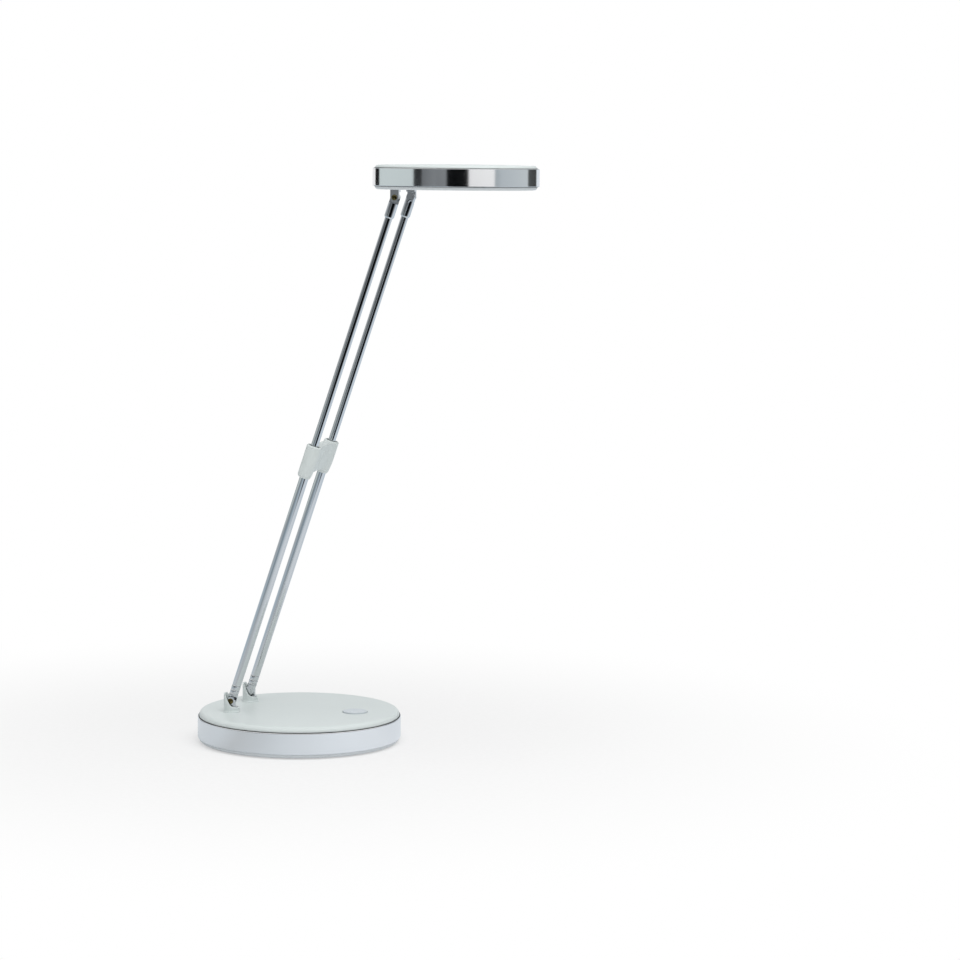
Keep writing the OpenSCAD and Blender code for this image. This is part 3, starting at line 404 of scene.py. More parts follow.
def all_materials(scene):
    """Every material, by its slot in the record, and what each one gives the eye."""
    colours, spark, smudge = scene.lamp_colours, scene.lamp_finish.spark, scene.lamp_finish.smudge
    plastic, metal, lean = moulded_plastic, plated_metal, (0, -LEAN, 0)
    return {
        # An even, cool white with broad and quiet highlights
        "white_plastic": plastic("satin_white_plastic", colours.cover_white, 0.38, spark),
        # A shade duller, so that the rims below the white covers stay calm
        "pale_plastic": plastic("satin_pale_plastic", colours.edge_white, 0.42, spark),
        # A tighter glint, which sets the button off from the cover
        "silver_plastic": plastic("silver_painted_plastic", colours.button_silver, 0.3, spark),
        # Dark lines with hardly a highlight: bushes and washers, and the black rings by the bands
        # that paint the shade of their gaps
        "black_plastic": plastic("matt_black_plastic", linear("1c1c1d"), 0.6, spark),
        # A dry, dark underside with a grain four times as deep
        "black_rubber": plastic("foam_rubber", linear("2a2a2b"), 0.85, 4 * spark),
        # A clear mirror of the studio, round the foot and the head
        "bright_chrome": metal("bright_chrome", colours.chrome, 0.008, 0.5 * smudge),
        # A slightly greyer mirror, drawn out into streaks along the arms
        "polished_steel": metal("polished_steel", colours.steel, 0.015, 0.6 * smudge, lean),
        # A dark golden glow, by which the screw heads stand out from the hoods
        "dark_bronze": metal("dark_bronze", linear("6f6440"), 0.14, smudge),
        # A warm yellow gleam where a slider shows
        "brass": metal("bright_brass", colours.brass, 0.16, smudge),
        # A pale, soft sheen on small screws
        "zinc_steel": metal("zinc_plated_steel", linear("c4c6c9"), 0.3, smudge),
        # A dull mid grey that looks heavy
        "ballast_steel": metal("mill_finish_steel", linear("8d9094"), 0.45, smudge),
        # A light, cool sheen with blurred reflections
        "aluminium_sheet": metal("aluminium_sheet", linear("d8d9db"), 0.35, smudge),
        # The deep green by which a circuit board is known
        "circuit_board": plastic("green_solder_mask", linear("1f6b3a"), 0.35, spark),
        # A warm white ground for the diodes
        "white_board": plastic("white_solder_mask", linear("f0f0ec"), 0.4, spark),
        # Small yellow dots with a resin's gloss
        "diode_phosphor": plastic("phosphor_resin", linear("eecf5a"), 0.3, spark),
        # A milky white that light sinks into
        "opal_acrylic": plastic("opal_acrylic", linear("f2f4f4"), 0.25, spark, opal=0.7),
        # A plain red that keeps the leads apart from the board
        "lead_insulation": plastic("red_lead_insulation", linear("a82d26"), 0.45, spark),
    }


# Stage, with its lengths in metres

# Between these heights above the ring's middle one row of cards gives way to the next
LOW_CHANGE = (-0.12, -0.03)
HIGH_CHANGE = (0.12, 0.5)
# Between these distances from the lamp the table's soft shadow gives way to plain white
SHADOW_FADE = (0.1, 0.42)
# The mirrored table falls off from this share of its bright distance on
FALL_OFF = 0.46
# How far the table lies below the foot, so that the two faces don't fight
TABLE_GAP = 0.1 * MM
WALL_HEIGHT = 3.6
WALL_MIDDLE = 0.3
SOFTBOX_PLACE = (0.6, -0.7, 2.1)
SOFTBOX_AIM = (0, 0, 0.15)
SOFTBOX_SIZE = 2.4


def deselect_all():
    """Leaves no object selected, so that the next operator works on its own piece."""
    for thing in bpy.context.view_layer.objects:
        thing.select_set(False)


def bearing(tree, place, azimuth):
    """How far round the lamp a point lies from the camera's side, as a share of a whole turn,
    and its height."""
    swung = add_node(tree, "ShaderNodeMapping", {
        "Vector": place, "Rotation": (0, 0, -azimuth)}).outputs["Vector"]
    parts = add_node(tree, "ShaderNodeSeparateXYZ", {0: swung})
    away = add_node(tree, "ShaderNodeMath", {0: parts.outputs["Y"], 1: -1.0}, operation="MULTIPLY")
    angle = add_node(tree, "ShaderNodeMath", {
        0: parts.outputs["X"], 1: away.outputs["Value"]}, operation="ARCTAN2")
    share = add_node(tree, "ShaderNodeMapRange", {
        "Value": angle.outputs["Value"], "From Min": -math.pi, "From Max": math.pi})
    return share.outputs["Result"], parts.outputs["Z"]


def ring_tones(tree, share, spans, edge=0.0):
    """Tones round the lamp, made of spans of bearing in degrees: from, colour there, to, colour
    there. Each span ends an edge short, which is where it turns into the next one."""
    stops = []
    for start, first, end, last in spans:
        stops.append(((start + edge) / 360 + 0.5, shade(linear(first))))
        stops.append(((end - edge) / 360 + 0.5, shade(linear(last))))
    return ramp(tree, share, stops)


def ring_card_material(azimuth):
    """Matt cards in a ring, black, grey and white in turn, which only the chrome sees. Dimmer
    rows hang above and below them."""
    material, tree, place = new_material("studio_cards")
    share, height = bearing(tree, place, azimuth)
    below = ring_tones(tree, share, [
        (-180, "c8ced2", -90, "b8bec2"), (-90, "b2b9bb", -60, "a4aaad"),
        (-60, "94999c", -25, "a2a8ab"), (-25, "3c3f41", -12, "0a0b0c"),
        (-12, "050607", 30, "0c0d0f"), (50, "84898d", 180, "c8ced2")])
    middle = ring_tones(tree, share, [
        (-180, "f3f3f4", -148, "f3f3f4"), (-148, "000000", -131, "000000"),
        (-131, "ccd6d6", -58.5, "d0dada"), (-58.5, "000000", -45.5, "000000"),
        (-45.5, "686b6e", -10.6, "8d9194"), (-10.6, "000000", 18.5, "000000"),
        (18.5, "fefefe", 55, "fefefe"), (55, "a4adb2", 66, "bcc4c9"),
        (66, "bcc4c9", 115.5, "c8cfd2"), (115.5, "4a4d4d", 144, "3a3a38"),
        (144, "e2e8ee", 180, "e6eaee")], edge=0.25)
    above = ring_tones(tree, share, [
        (-180, "ccd0d4", -120, "c4c8cb"), (-112, "c0c4c7", -92, "a4a8ab"),
        (-82, "74787b", 0, "70747a"), (20, "9a9ea2", 180, "ccd0d4")])
    tones = blend(tree, ease(tree, height, *LOW_CHANGE), below, middle)
    tones = blend(tree, ease(tree, height, *HIGH_CHANGE), tones, above)
    glow = add_node(tree, "ShaderNodeEmission", {"Color": tones}).outputs[0]
    add_node(tree, "ShaderNodeOutputMaterial", {"Surface": glow})
    return material


def table_material(studio):
    """A pale table that shows white with a soft shadow. In the chrome it is bright close to the
    lamp and falls off into a dim room, and from below it can be seen through."""
    material, tree, place = new_material("pale_table")
    path = add_node(tree, "ShaderNodeLightPath")
    distance = add_node(
        tree, "ShaderNodeVectorMath", {0: place}, operation="LENGTH").outputs["Value"]
    share, _ = bearing(tree, place, studio.azimuth)
    close_by = ring_tones(tree, share, [
        (-180, "d4dee8", -100, "bcc9d2"), (-72, "b4c2cc", -50, "8e9aa2"),
        (-30, "a0aeb8", -11, "bccad4"), (7, "ccd8e2", 8, "ccd8e2"),
        (26, "dae6f0", 47, "e3eef8"), (72, "e4eef7", 100, "dce7f1"),
        (140, "d4e0ea", 180, "d4dee8")])
    room = ring_tones(tree, share, [
        (-180, "ccd2d6", -105, "bcc0c3"), (-75, "8c9093", -50, "74787b"),
        (-30, "6e7174", -20, "444648"), (-11, "222426", -2, "060708"),
        (24, "050506", 34, "1c1d1f"), (47, "7c8085", 72, "bec2c7"),
        (100, "c4c9cd", 180, "ccd2d6")])
    # How far the bright table goes each way, as a share of the dim distance
    bright = ramp(tree, share, [
        (0.0, grey(1.0)), (0.36, grey(1.0)), (0.42, grey(0.9)), (0.47, grey(0.52)),
        (0.52, grey(0.17)), (0.572, grey(0.118)), (0.63, grey(0.2)), (0.7, grey(0.34)),
        (1.0, grey(1.0))])
    bright = add_node(tree, "ShaderNodeMath", {
        0: bright, 1: studio.dim_distance}, operation="MULTIPLY")
    ratio = add_node(tree, "ShaderNodeMath", {
        0: distance, 1: bright.outputs["Value"]}, operation="DIVIDE")
    far = ease(tree, ratio.outputs["Value"], FALL_OFF, 1.0)
    tint = ramp(tree, noise(tree, place, TABLE_GRAIN), [(0.4, grey(0.84)), (0.6, grey(0.86))])
    matt = add_node(tree, "ShaderNodeBsdfDiffuse", {"Color": tint}).outputs[0]
    white = add_node(tree, "ShaderNodeEmission", {"Color": grey(1)}).outputs[0]
    glow = add_node(tree, "ShaderNodeEmission", {
        "Color": blend(tree, far, close_by, room)}).outputs[0]
    near = ease(tree, distance, *SHADOW_FADE, first=0.5, last=0.0)
    by_eye = mix(tree, path.outputs["Is Camera Ray"], matt, mix(tree, near, white, matt))
    by_mirror = mix(tree, path.outputs["Is Glossy Ray"], by_eye, mix(tree, near, glow, matt))
    clear = add_node(tree, "ShaderNodeBsdfTransparent").outputs[0]
    side = add_node(tree, "ShaderNodeNewGeometry").outputs["Backfacing"]
    add_node(tree, "ShaderNodeOutputMaterial", {"Surface": mix(tree, side, by_mirror, clear)})
    return material


class LAMP_OT_stage(bpy.types.Operator):
    """Sets the table, the ring of cards, the lights and the camera"""
    bl_idname = "lamp.stage"
    bl_label = "Stage"

    def execute(self, context):
        studio = context.scene.lamp_studio
        context.scene.view_settings.view_transform = "Standard"
        self.table(studio)
        self.cards(studio)
        self.lights(context.scene, studio)
        self.camera(context.scene, studio)
        return {"FINISHED"}

    def table(self, studio):
        bpy.ops.mesh.primitive_circle_add(
            vertices=128, radius=studio.floor_radius, fill_type="NGON",
            location=(0, 0, -TABLE_GAP))
        table = bpy.context.object
        table.name = "table"
        table.data.materials.append(table_material(studio))

    def cards(self, studio):
        bpy.ops.mesh.primitive_cylinder_add(
            vertices=180, radius=studio.wall_radius, depth=WALL_HEIGHT,
            end_fill_type="NOTHING", location=(0, 0, WALL_MIDDLE))
        cards = bpy.context.object
        cards.name = "cards"
        cards.data.materials.append(ring_card_material(studio.azimuth))
        cards.visible_camera = cards.visible_diffuse = cards.visible_shadow = False
        cards.visible_transmission = cards.visible_volume_scatter = False

    def lights(self, scene, studio):
        world = bpy.data.worlds.new("studio")
        world.use_nodes = True
        tree = world.node_tree
        tree.nodes.clear()
        path = add_node(tree, "ShaderNodeLightPath")
        shown = path.outputs["Is Camera Ray"]
        for kind in ("Is Glossy Ray", "Is Transmission Ray"):
            shown = add_node(tree, "ShaderNodeMath", {
                0: shown, 1: path.outputs[kind]}, operation="MAXIMUM").outputs[0]
        room = add_node(tree, "ShaderNodeBackground", {"Color": grey(1), "Strength": studio.sky})
        white = add_node(tree, "ShaderNodeBackground", {"Color": grey(1), "Strength": 1.0})
        both = mix(tree, shown, room.outputs[0], white.outputs[0])
        add_node(tree, "ShaderNodeOutputWorld", {"Surface": both})
        scene.world = world
        bpy.ops.object.light_add(type="AREA", location=SOFTBOX_PLACE)
        lamp = bpy.context.object
        lamp.name = "overhead"
        lamp.data.shape = "DISK"
        lamp.data.size = SOFTBOX_SIZE
        lamp.data.energy = studio.overhead
        aim = Vector(SOFTBOX_AIM) - lamp.location
        lamp.rotation_euler = aim.to_track_quat("-Z", "Y").to_euler()
        lamp.visible_glossy = False

    def camera(self, scene, studio):
        a, e = studio.azimuth, studio.elevation
        back = Vector((math.sin(a) * math.cos(e), -math.cos(a) * math.cos(e), math.sin(e)))
        level = Vector((math.cos(a), math.sin(a), 0))
        up = back.cross(level)
        right = level * math.cos(studio.roll) + up * math.sin(studio.roll)
        up = back.cross(right)
        target = level * studio.aim_across + Vector((0, 0, studio.aim_height))
        data = bpy.data.cameras.new("photograph")
        data.lens = studio.lens
        data.sensor_width = 36
        data.clip_start, data.clip_end = 0.05, 20
        camera = bpy.data.objects.new("photograph", data)
        scene.collection.objects.link(camera)
        turn = Matrix((right, up, back)).transposed().to_4x4()
        camera.matrix_world = Matrix.Translation(target + back * studio.distance) @ turn
        scene.camera = camera


# Parts in the chrome slot that are drawn steel to the eye
DRAWN_STEEL = ("tube_", "rod_front", "rod_rear", "knuckle_", "ferrule_")


class LAMP_OT_finishes(bpy.types.Operator):
    """Gives every carried-over part its finish"""
    bl_idname = "lamp.finishes"
    bl_label = "Finishes"

    def execute(self, context):
        made = all_materials(context.scene)
        for part in frame["record"]["subparts"]:
            mesh = NODES[part["node"]].data
            mesh.materials.clear()
            drawn = part["node"].startswith(DRAWN_STEEL)
            mesh.materials.append(made["polished_steel" if drawn else part["material_slot"]])
        return {"FINISHED"}


# Modelling tools

# Points that lie closer together than this are one point
MERGE = 0.0002 * MM
# Small bevels on turned pieces, and the angles that round one of them off
TUBE_BEVEL = 0.15 * MM
SCREW_BEVEL = 0.1 * MM
BAND_ROUND = 0.25 * MM
QUARTER = [math.radians(22.5 * step) for step in range(5)]
# Rings on each side of a rolled groove's middle
GROOVE_RINGS = 4
# What the clamp's taper leaves of the sleeves' wall round the tubes
SLEEVE_LEAST = 0.4 * MM
# Width of the recess's tool at its tip, as a share of its width on top
RECESS_TIP = 0.45
# How far the head's black collars, painted shade for the gaps by the band, stand out from the cover
# and the housing
PAINTED_GAP_COLLAR = 0.3 * MM
# How deep the foot's black ring, painted shade for the gap over the band, sits in the band
PAINTED_GAP_ROOT = 0.1 * MM
LENS_RINGS = 12
# The lamp's own measures: its joints, the arms' lean and the lower tubes
JOINTS = {joint["name"]: joint for joint in frame["joints"]}
HINGE = Vector(JOINTS["arm_tilt"]["pos_m"])
HEAD_PIVOT = Vector(JOINTS["head_tilt"]["pos_m"])
ALONG = Vector(JOINTS["arm_extension"]["axis"]).normalized()
LEAN = math.atan2(ALONG.x, ALONG.z)
ON_ARM = Matrix.Translation(HINGE) @ Matrix.Rotation(LEAN, 4, "Y")
TUBE_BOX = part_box("tube_rear")
TUBE_RADIUS = (TUBE_BOX[1][1] - TUBE_BOX[0][1]) / 2
ARM_OFFSET = (TUBE_BOX[1][1] + TUBE_BOX[0][1]) / 2


def select_only(thing):
    """Selects one object and makes it the active one."""
    deselect_all()
    thing.select_set(True)
    bpy.context.view_layer.objects.active = thing


def apply_modifiers(piece):
    """Turns a piece's modifiers into real shape, in their order."""
    select_only(piece)
    for modifier in list(piece.modifiers):
        bpy.ops.object.modifier_apply(modifier=modifier.name)


def copy_of(name, node):
    """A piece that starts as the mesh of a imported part, with its doubled points merged."""
    piece = bpy.data.objects.new(name, NODES[node].data.copy())
    bpy.context.scene.collection.objects.link(piece)
    select_only(piece)
    bpy.ops.object.mode_set(mode="EDIT")
    bpy.ops.mesh.select_all(action="SELECT")
    bpy.ops.mesh.remove_doubles(threshold=MERGE)
    bpy.ops.object.mode_set(mode="OBJECT")
    return piece


def soften(piece, grid, rounds):
    """Rounds a moulding all over, as a mould's polished edges do."""
    piece.modifiers.new("grid", "REMESH").mode = "VOXEL"
    piece.modifiers["grid"].voxel_size = grid
    smooth = piece.modifiers.new("smooth", "SMOOTH")
    smooth.factor, smooth.iterations = 0.5, rounds
    apply_modifiers(piece)
    bpy.ops.object.shade_smooth()


def moved_copy(piece, name, matrix):
    """A copy with its own mesh, with its new place in that mesh."""
    copy = bpy.data.objects.new(name, piece.data.copy())
    bpy.context.scene.collection.objects.link(copy)
    copy.data.transform(matrix)
    return copy


def join(name, *pieces):
    """Makes one piece of several."""
    deselect_all()
    for piece in pieces:
        piece.select_set(True)
    bpy.context.view_layer.objects.active = pieces[0]
    bpy.ops.object.join()
    pieces[0].name = name
    return pieces[0]


def turned(name, rings, sides=96, closed=False):
    """A piece turned about Z: a circle drawn out from ring to ring of radius and height, and
    either closed on itself or capped at both ends."""
    deselect_all()
    radius, height = rings[0]
    bpy.ops.mesh.primitive_circle_add(
        vertices=sides, radius=radius, fill_type="NOTHING" if closed else "NGON",
        location=(0, 0, height))
    piece = bpy.context.object
    piece.name = name
    bpy.ops.object.mode_set(mode="EDIT")
    bpy.ops.mesh.select_mode(type="VERT")
    bpy.ops.mesh.select_all(action="SELECT")
    for new_radius, new_height in rings[1:]:
        rise = (0, 0, new_height - height)
        bpy.ops.mesh.extrude_region_move(TRANSFORM_OT_translate={"value": rise})
        share = new_radius / radius
        bpy.ops.transform.resize(value=(share, share, 1), center_override=(0, 0, new_height))
        radius, height = new_radius, new_height
    bpy.ops.mesh.select_all(action="SELECT")
    bpy.ops.mesh.remove_doubles(threshold=MERGE)
    bpy.ops.mesh.normals_make_consistent(inside=False)
    bpy.ops.object.mode_set(mode="OBJECT")
    bpy.ops.object.transform_apply()
    return piece


def pick(piece, wanted):
    """Selects the faces that pass a test, in edit mode."""
    select_only(piece)
    bpy.ops.object.mode_set(mode="EDIT")
    bpy.ops.mesh.select_mode(type="FACE")
    bpy.ops.mesh.select_all(action="DESELECT")
    bpy.ops.object.mode_set(mode="OBJECT")
    for face in piece.data.polygons:
        face.select = wanted(face)
    bpy.ops.object.mode_set(mode="EDIT")


def smooth_by_angle(piece, degrees=35):
    """Shades a piece smoothly, apart from edges that are sharper than an angle."""
    select_only(piece)
    bpy.ops.object.shade_smooth_by_angle(angle=math.radians(degrees))


def weigh_normals(piece):
    """Lets the large faces set the shading, so that flats beside small round edges stay flat."""
    smooth_by_angle(piece)
    piece.modifiers.new("weighted", "WEIGHTED_NORMAL").keep_sharp = True
    apply_modifiers(piece)


def cut(piece, tool):
    """Takes a tool's shape out of a piece."""
    knife = piece.modifiers.new("cut", "BOOLEAN")
    knife.operation, knife.solver, knife.object = "DIFFERENCE", "EXACT", tool
    apply_modifiers(piece)
    bpy.data.objects.remove(tool)


def ease_edges(piece, width, degrees=40, steps=2):
    """Breaks the sharp edges of a machined part, so that they catch the light."""
    flat = piece.modifiers.new("flat", "DECIMATE")
    flat.decimate_type, flat.angle_limit = "DISSOLVE", math.radians(1)
    bevel = piece.modifiers.new("eased", "BEVEL")
    bevel.width, bevel.segments = width, steps
    bevel.limit_method, bevel.angle_limit = "ANGLE", math.radians(degrees)
    bevel.use_clamp_overlap = True
    apply_modifiers(piece)
    weigh_normals(piece)


def dress(piece, body, slot, material, *nodes):
    """Gives a finished piece its finish and its place in the lamp."""
    piece.data.materials.clear()
    piece.data.materials.append(bpy.data.materials[material])
    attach(piece, body)
    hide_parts(*nodes)


def reach(node):
    """From where to where a part lies along the arms, from the lower pivots."""
    along = [(corner.co - HINGE).dot(ALONG) for corner in NODES[node].data.vertices]
    return min(along), max(along)


# Pieces

class LAMP_OT_hoods(bpy.types.Operator):
    """Models the scooped hoods over the lower pivots, soft all over like any moulding"""
    bl_idname = "lamp.hoods"
    bl_label = "Hoods"

    def execute(self, context):
        shape = context.scene.lamp_shape
        front = copy_of("hood_front_moulding", "hood_front")
        cover_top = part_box("foot_cover")[1][2]
        for corner in front.data.vertices:
            above = corner.co.z - cover_top
            if above > 0:
                corner.co.z = cover_top + shape.hood_height * above - shape.hood_sink
        soften(front, shape.hood_grid, shape.hood_rounds)
        rear = moved_copy(front, "hood_rear_moulding", Matrix.Translation((0, 2 * ARM_OFFSET, 0)))
        dress(front, "base", "white_plastic", "satin_white_plastic", "hood_front")
        dress(rear, "base", "white_plastic", "satin_white_plastic", "hood_rear")
        return {"FINISHED"}


class LAMP_OT_clamp(bpy.types.Operator):
    """Models the clamp that ties the arms together, with its sleeves flowing into its web"""
    bl_idname = "lamp.clamp"
    bl_label = "Clamp"

    def execute(self, context):
        shape = context.scene.lamp_shape
        clamp = copy_of("clamp_moulding", "arm_clamp")
        start, end = reach("arm_clamp")
        middle = (start + end) / 2
        clamp.data.transform(ON_ARM.inverted())
        web, between, open_web = shape.web / 2, ARM_OFFSET / 2, ARM_OFFSET - shape.sleeve
        for corner in clamp.data.vertices:
            if abs(corner.co.y) < open_web and corner.co.z > middle + (end - middle) / 2:
                corner.co.z = end - shape.dip * (end - corner.co.z)
            corner.co.z = middle + shape.clamp_length * (corner.co.z - middle)
            if corner.co.x > web and abs(corner.co.y) < between:
                corner.co.x = web + shape.grip_height * (corner.co.x - web)
        soften(clamp, shape.clamp_grid, shape.clamp_rounds)
        bore, length = TUBE_RADIUS + SLEEVE_LEAST, (end - start) * shape.clamp_length
        for corner in clamp.data.vertices:
            wall = math.hypot(corner.co.x, abs(corner.co.y) - ARM_OFFSET) - bore
            low = 1 - (corner.co.z - middle + length / 2) / (shape.taper * length)
            if corner.co.x > 0 and wall > 0 and low > 0:
                corner.co.x -= min(wall, corner.co.x) * shape.taper_depth * low * low
        clamp.data.transform(ON_ARM)
        dress(clamp, "lower_arm", "white_plastic", "satin_white_plastic", "arm_clamp")
        return {"FINISHED"}


class LAMP_OT_tubes(bpy.types.Operator):
    """Models the lower tubes with the three grooves that are rolled in over the knuckles"""
    bl_idname = "lamp.tubes"
    bl_label = "Lower tubes"

    def execute(self, context):
        shape = context.scene.lamp_shape
        start, end = reach("tube_front")
        radius, bevel = TUBE_RADIUS, TUBE_BEVEL
        bore = radius - shape.tube_wall
        rings = [(bore, end), (bore, start), (radius - bevel, start), (radius, start + bevel)]
        for groove in shape.grooves:
            for ring in range(-GROOVE_RINGS, GROOVE_RINGS + 1):
                depth = shape.groove_depth * (1 + math.cos(math.pi * ring / GROOVE_RINGS)) / 2
                height = start + groove + ring * shape.groove_width / (2 * GROOVE_RINGS)
                rings.append((radius - depth, height))
        rings += [(radius, end), (bore, end)]
        tube = turned("lower_tube", rings, closed=True)
        smooth_by_angle(tube, 50)
        for side, name in ((-1, "front"), (1, "rear")):
            place = Matrix.Translation((0, side * ARM_OFFSET, 0)) @ ON_ARM
            dress(moved_copy(tube, "lower_tube_" + name, place),
                  "lower_arm", "bright_chrome", "polished_steel", "tube_" + name)
        bpy.data.objects.remove(tube)
        return {"FINISHED"}


class LAMP_OT_pivot_screws(bpy.types.Operator):
    """Models the four domed cross-head pivot screws"""
    bl_idname = "lamp.pivot_screws"
    bl_label = "Pivot screws"

    def execute(self, context):
        shape = context.scene.lamp_shape
        low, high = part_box("lower_pivot_screws")
        head, shank = (high[2] - low[2]) / 2, shape.screw_shank / 2
        face = -ARM_OFFSET - low[1]
        seat = face - shape.screw_head_height
        rim = seat + shape.screw_rim
        dome = [(head * math.cos(a), rim + (face - rim) * math.sin(a))
                for a in [math.radians(degrees) for degrees in range(0, 90, 10)]]
        end, bevel = -shape.screw_end, SCREW_BEVEL
        rings = [(shank, end), (shank, seat), (head - bevel, seat), (head, seat + bevel)]
        screw = turned("pivot_screw", rings + dome, sides=64)
        cut(screw, self.cross(shape, face))
        smooth_by_angle(screw)
        screw.data.transform(Matrix.Rotation(math.radians(90), 4, "X"))
        for level, centre, body in (
                ("lower", HINGE, "lower_arm"), ("upper", HEAD_PIVOT, "upper_arm")):
            sides = []
            for side in (-1, 1):
                facing = Matrix.Rotation(0 if side < 0 else math.pi, 4, "Z")
                facing = facing @ Matrix.Rotation(shape.recess_turn, 4, "Y")
                place = Matrix.Translation((centre.x, side * ARM_OFFSET, centre.z)) @ facing
                sides.append(moved_copy(screw, level + "_screw", place))
            pair = join(level + "_pivot_screw_pair", *sides)
            dress(pair, body, "brass", "dark_bronze", level + "_pivot_screws")
            # The shanks' inner ends shine like the steel tongues that they end flush with
            pair.data.materials.append(bpy.data.materials["polished_steel"])
            for facet in pair.data.polygons:
                if abs(facet.center.y) < ARM_OFFSET:
                    facet.material_index = 1
        bpy.data.objects.remove(screw)
        return {"FINISHED"}

    def cross(self, shape, face):
        """The tapered cross that the recess is struck with."""
        arms = []
        for turn in (0, math.pi / 2):
            deselect_all()
            bpy.ops.mesh.primitive_cube_add(size=1, location=(0, 0, face))
            arm = bpy.context.object
            arm.scale = (shape.recess, shape.recess / 4, 2 * shape.recess_depth)
            arm.rotation_euler = (0, 0, turn)
            bpy.ops.object.transform_apply()
            pick(arm, lambda side: side.normal.z < -0.5)
            bpy.ops.transform.resize(
                value=(RECESS_TIP, RECESS_TIP, 1),
                center_override=(0, 0, face - shape.recess_depth))
            bpy.ops.object.mode_set(mode="OBJECT")
            arms.append(arm)
        both = arms[0].modifiers.new("both", "BOOLEAN")
        both.operation, both.solver, both.object = "UNION", "EXACT", arms[1]
        apply_modifiers(arms[0])
        bpy.data.objects.remove(arms[1])
        return arms[0]


class LAMP_OT_fittings(bpy.types.Operator):
    """Eases the edges of the knuckles, end fittings, brackets and posts"""
    bl_idname = "lamp.fittings"
    bl_label = "End fittings"

    def execute(self, context):
        shape = context.scene.lamp_shape
        for kind, body in (("knuckle", "lower_arm"), ("ferrule", "upper_arm"),
                           ("bracket", "light_head"), ("post", "base")):
            for side in ("front", "rear"):
                node = kind + "_" + side
                piece = copy_of(node + "_eased", node)
                ease_edges(piece, shape.eased)
                dress(piece, body, "bright_chrome", "polished_steel", node)
        return {"FINISHED"}


class LAMP_OT_foot_band(bpy.types.Operator):
    """Models a black ring between the foot's bright band and its cover, onto the band: painted
    shade for the dark gap there
    """
    bl_idname = "lamp.foot_band"
    bl_label = "Foot band"

    def execute(self, context):
        shape = context.scene.lamp_shape
        low, high = [Vector(corner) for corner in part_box("foot_band")]
        outer = (high.x - low.x) / 2
        band = copy_of("foot_band_sealed", "foot_band")
        metal = len(band.data.polygons)
        inner, rim = outer - shape.foot_painted_gap_width, outer - shape.foot_painted_gap_inset
        root, top = high.z - PAINTED_GAP_ROOT, high.z + shape.foot_painted_gap
        rings = [(inner, root), (rim, root), (rim, top), (inner, top), (inner, root)]
        gap_shade = turned("foot_painted_gap", rings, sides=256, closed=True)
        band = join("foot_band_sealed", band, gap_shade)
        weigh_normals(band)
        dress(band, "base", "bright_chrome", "bright_chrome", "foot_band")
        # The black ring is painted shade, where the gap under the cover would be dark
        band.data.materials.append(bpy.data.materials["matt_black_plastic"])
        for face in band.data.polygons:
            face.material_index = int(face.index >= metal)
        return {"FINISHED"}


class LAMP_OT_head_band(bpy.types.Operator):
    """Models the bright band round the head, with lips that lap over the cover and the housing, and
    black collars over and under it that are painted shade for the gaps there
    """
    bl_idname = "lamp.head_band"
    bl_label = "Head band"

    def execute(self, context):
        shape = context.scene.lamp_shape
        low, high = [Vector(corner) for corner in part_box("head_band")]
        outer, centre = (high.x - low.x) / 2, (low + high) / 2
        inner, clear = outer - shape.band_wall, outer - shape.band_step
        collar, edge = clear + PAINTED_GAP_COLLAR, BAND_ROUND
        lip_low, lip_high = low.z - shape.band_lip, high.z + shape.band_lip
        gap_shade_low, gap_shade_high = lip_low - shape.band_painted_gaps, lip_high + shape.band_painted_gaps
        profile = [(inner, high.z), (inner, low.z), (clear, low.z), (clear, gap_shade_low),
                   (collar, gap_shade_low), (collar, lip_low)]
        profile += [(outer - edge + edge * math.sin(a), lip_low + edge - edge * math.cos(a))
                    for a in QUARTER]
        # A ring close to each round edge keeps the shading of the face between them flat
        profile += [(outer, lip_low + 1.2 * edge), (outer, lip_high - 1.2 * edge)]
        profile += [(outer - edge + edge * math.cos(a), lip_high - edge + edge * math.sin(a))
                    for a in QUARTER]
        profile += [(collar, lip_high), (collar, gap_shade_high), (clear, gap_shade_high),
                    (clear, high.z), (inner, high.z)]
        band = turned("head_band_ring", profile, sides=256, closed=True)
        band.data.transform(Matrix.Translation((centre.x, centre.y, 0)))
        smooth_by_angle(band)
        dress(band, "light_head", "bright_chrome", "bright_chrome", "head_band")
        # The black collars are painted shade, where the gaps over and under the band would be dark
        band.data.materials.append(bpy.data.materials["matt_black_plastic"])
        margin = shape.band_painted_gaps / 4
        for face in band.data.polygons:
            if not lip_low - margin < face.center.z < lip_high + margin:
                face.material_index = 1
        return {"FINISHED"}


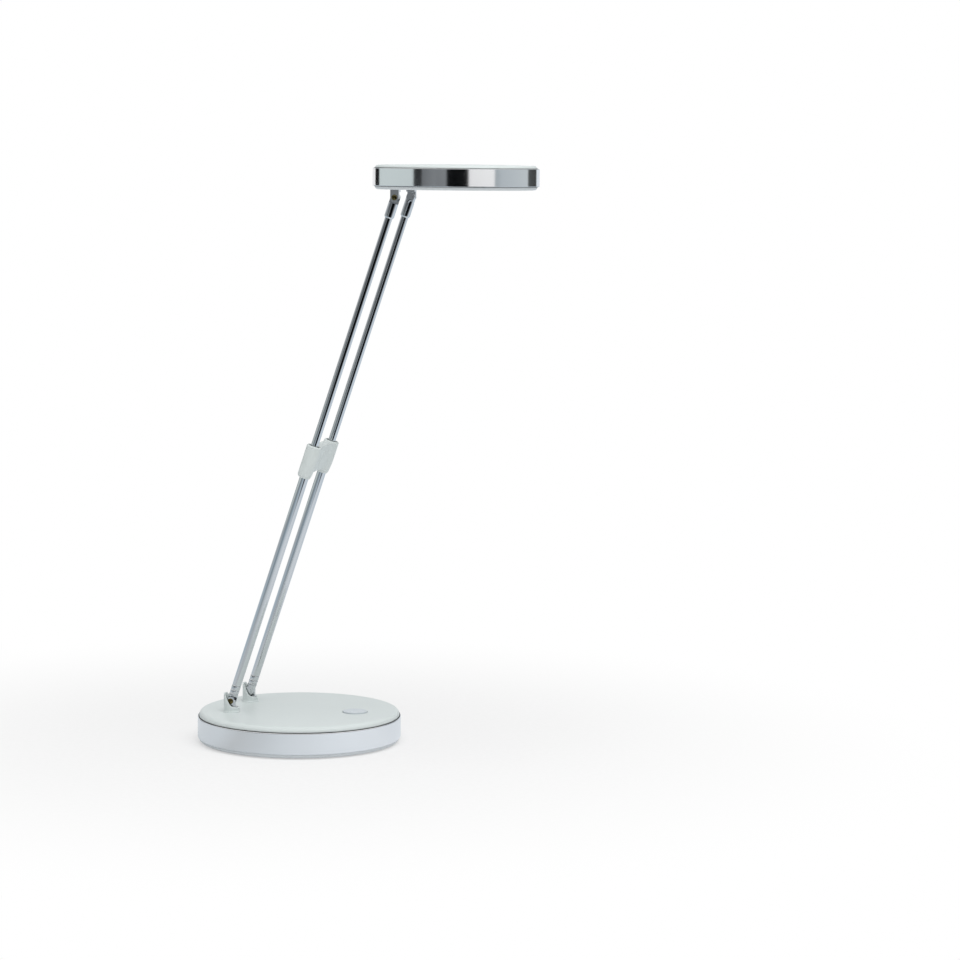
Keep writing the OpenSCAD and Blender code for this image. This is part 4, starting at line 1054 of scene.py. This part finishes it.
class LAMP_OT_lens(bpy.types.Operator):
    """Models the opal lens under the head, faintly domed within its flat rim"""
    bl_idname = "lamp.lens"
    bl_label = "Opal lens"

    def execute(self, context):
        shape = context.scene.lamp_shape
        low, high = [Vector(corner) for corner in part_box("diffuser")]
        radius, centre = (high.x - low.x) / 2, (low + high) / 2
        window = radius - shape.lens_ledge
        rings = [(radius, high.z), (radius, low.z), (window, low.z)]
        for ring in range(1, LENS_RINGS):
            share = 1 - ring / LENS_RINGS
            rings.append((window * share, low.z - shape.lens_dome * (1 - share ** 2)))
        lens = turned("opal_lens", rings, sides=128)
        lens.data.transform(Matrix.Translation((centre.x, centre.y, 0)))
        smooth_by_angle(lens)
        dress(lens, "light_head", "opal_acrylic", "opal_acrylic", "diffuser")
        return {"FINISHED"}


class LAMP_PT_panel(bpy.types.Panel):
    """The lamp's settings and steps in the sidebar"""
    bl_idname = "LAMP_PT_panel"
    bl_label = "Desk lamp"
    bl_space_type = "VIEW_3D"
    bl_region_type = "UI"
    bl_category = "Desk lamp"

    def draw(self, context):
        scene = context.scene
        for group in (scene.lamp_colours, scene.lamp_finish, scene.lamp_shape, scene.lamp_studio):
            box = self.layout.box()
            for name in group.__annotations__:
                box.prop(group, name)
        for step in STEPS:
            self.layout.operator(step.bl_idname)


STEPS = (
    LAMP_OT_stage, LAMP_OT_finishes, LAMP_OT_hoods, LAMP_OT_clamp, LAMP_OT_tubes,
    LAMP_OT_pivot_screws, LAMP_OT_fittings, LAMP_OT_foot_band, LAMP_OT_head_band, LAMP_OT_lens)
GROUPS = {"lamp_colours": LampColours, "lamp_finish": LampFinish,
          "lamp_shape": LampShape, "lamp_studio": LampStudio}
CLASSES = tuple(GROUPS.values()) + STEPS + (LAMP_PT_panel,)


def register():
    for made in CLASSES:
        bpy.utils.register_class(made)
    for name, group in GROUPS.items():
        setattr(bpy.types.Scene, name, PointerProperty(type=group))


def unregister():
    for name in GROUPS:
        delattr(bpy.types.Scene, name)
    for made in reversed(CLASSES):
        bpy.utils.unregister_class(made)


def main():
    register()
    bpy.ops.lamp.stage()
    bpy.ops.lamp.finishes()
    bpy.ops.lamp.hoods()
    bpy.ops.lamp.clamp()
    bpy.ops.lamp.tubes()
    bpy.ops.lamp.pivot_screws()
    bpy.ops.lamp.fittings()
    bpy.ops.lamp.foot_band()
    bpy.ops.lamp.head_band()
    bpy.ops.lamp.lens()


if __name__ == "__main__":
    main()
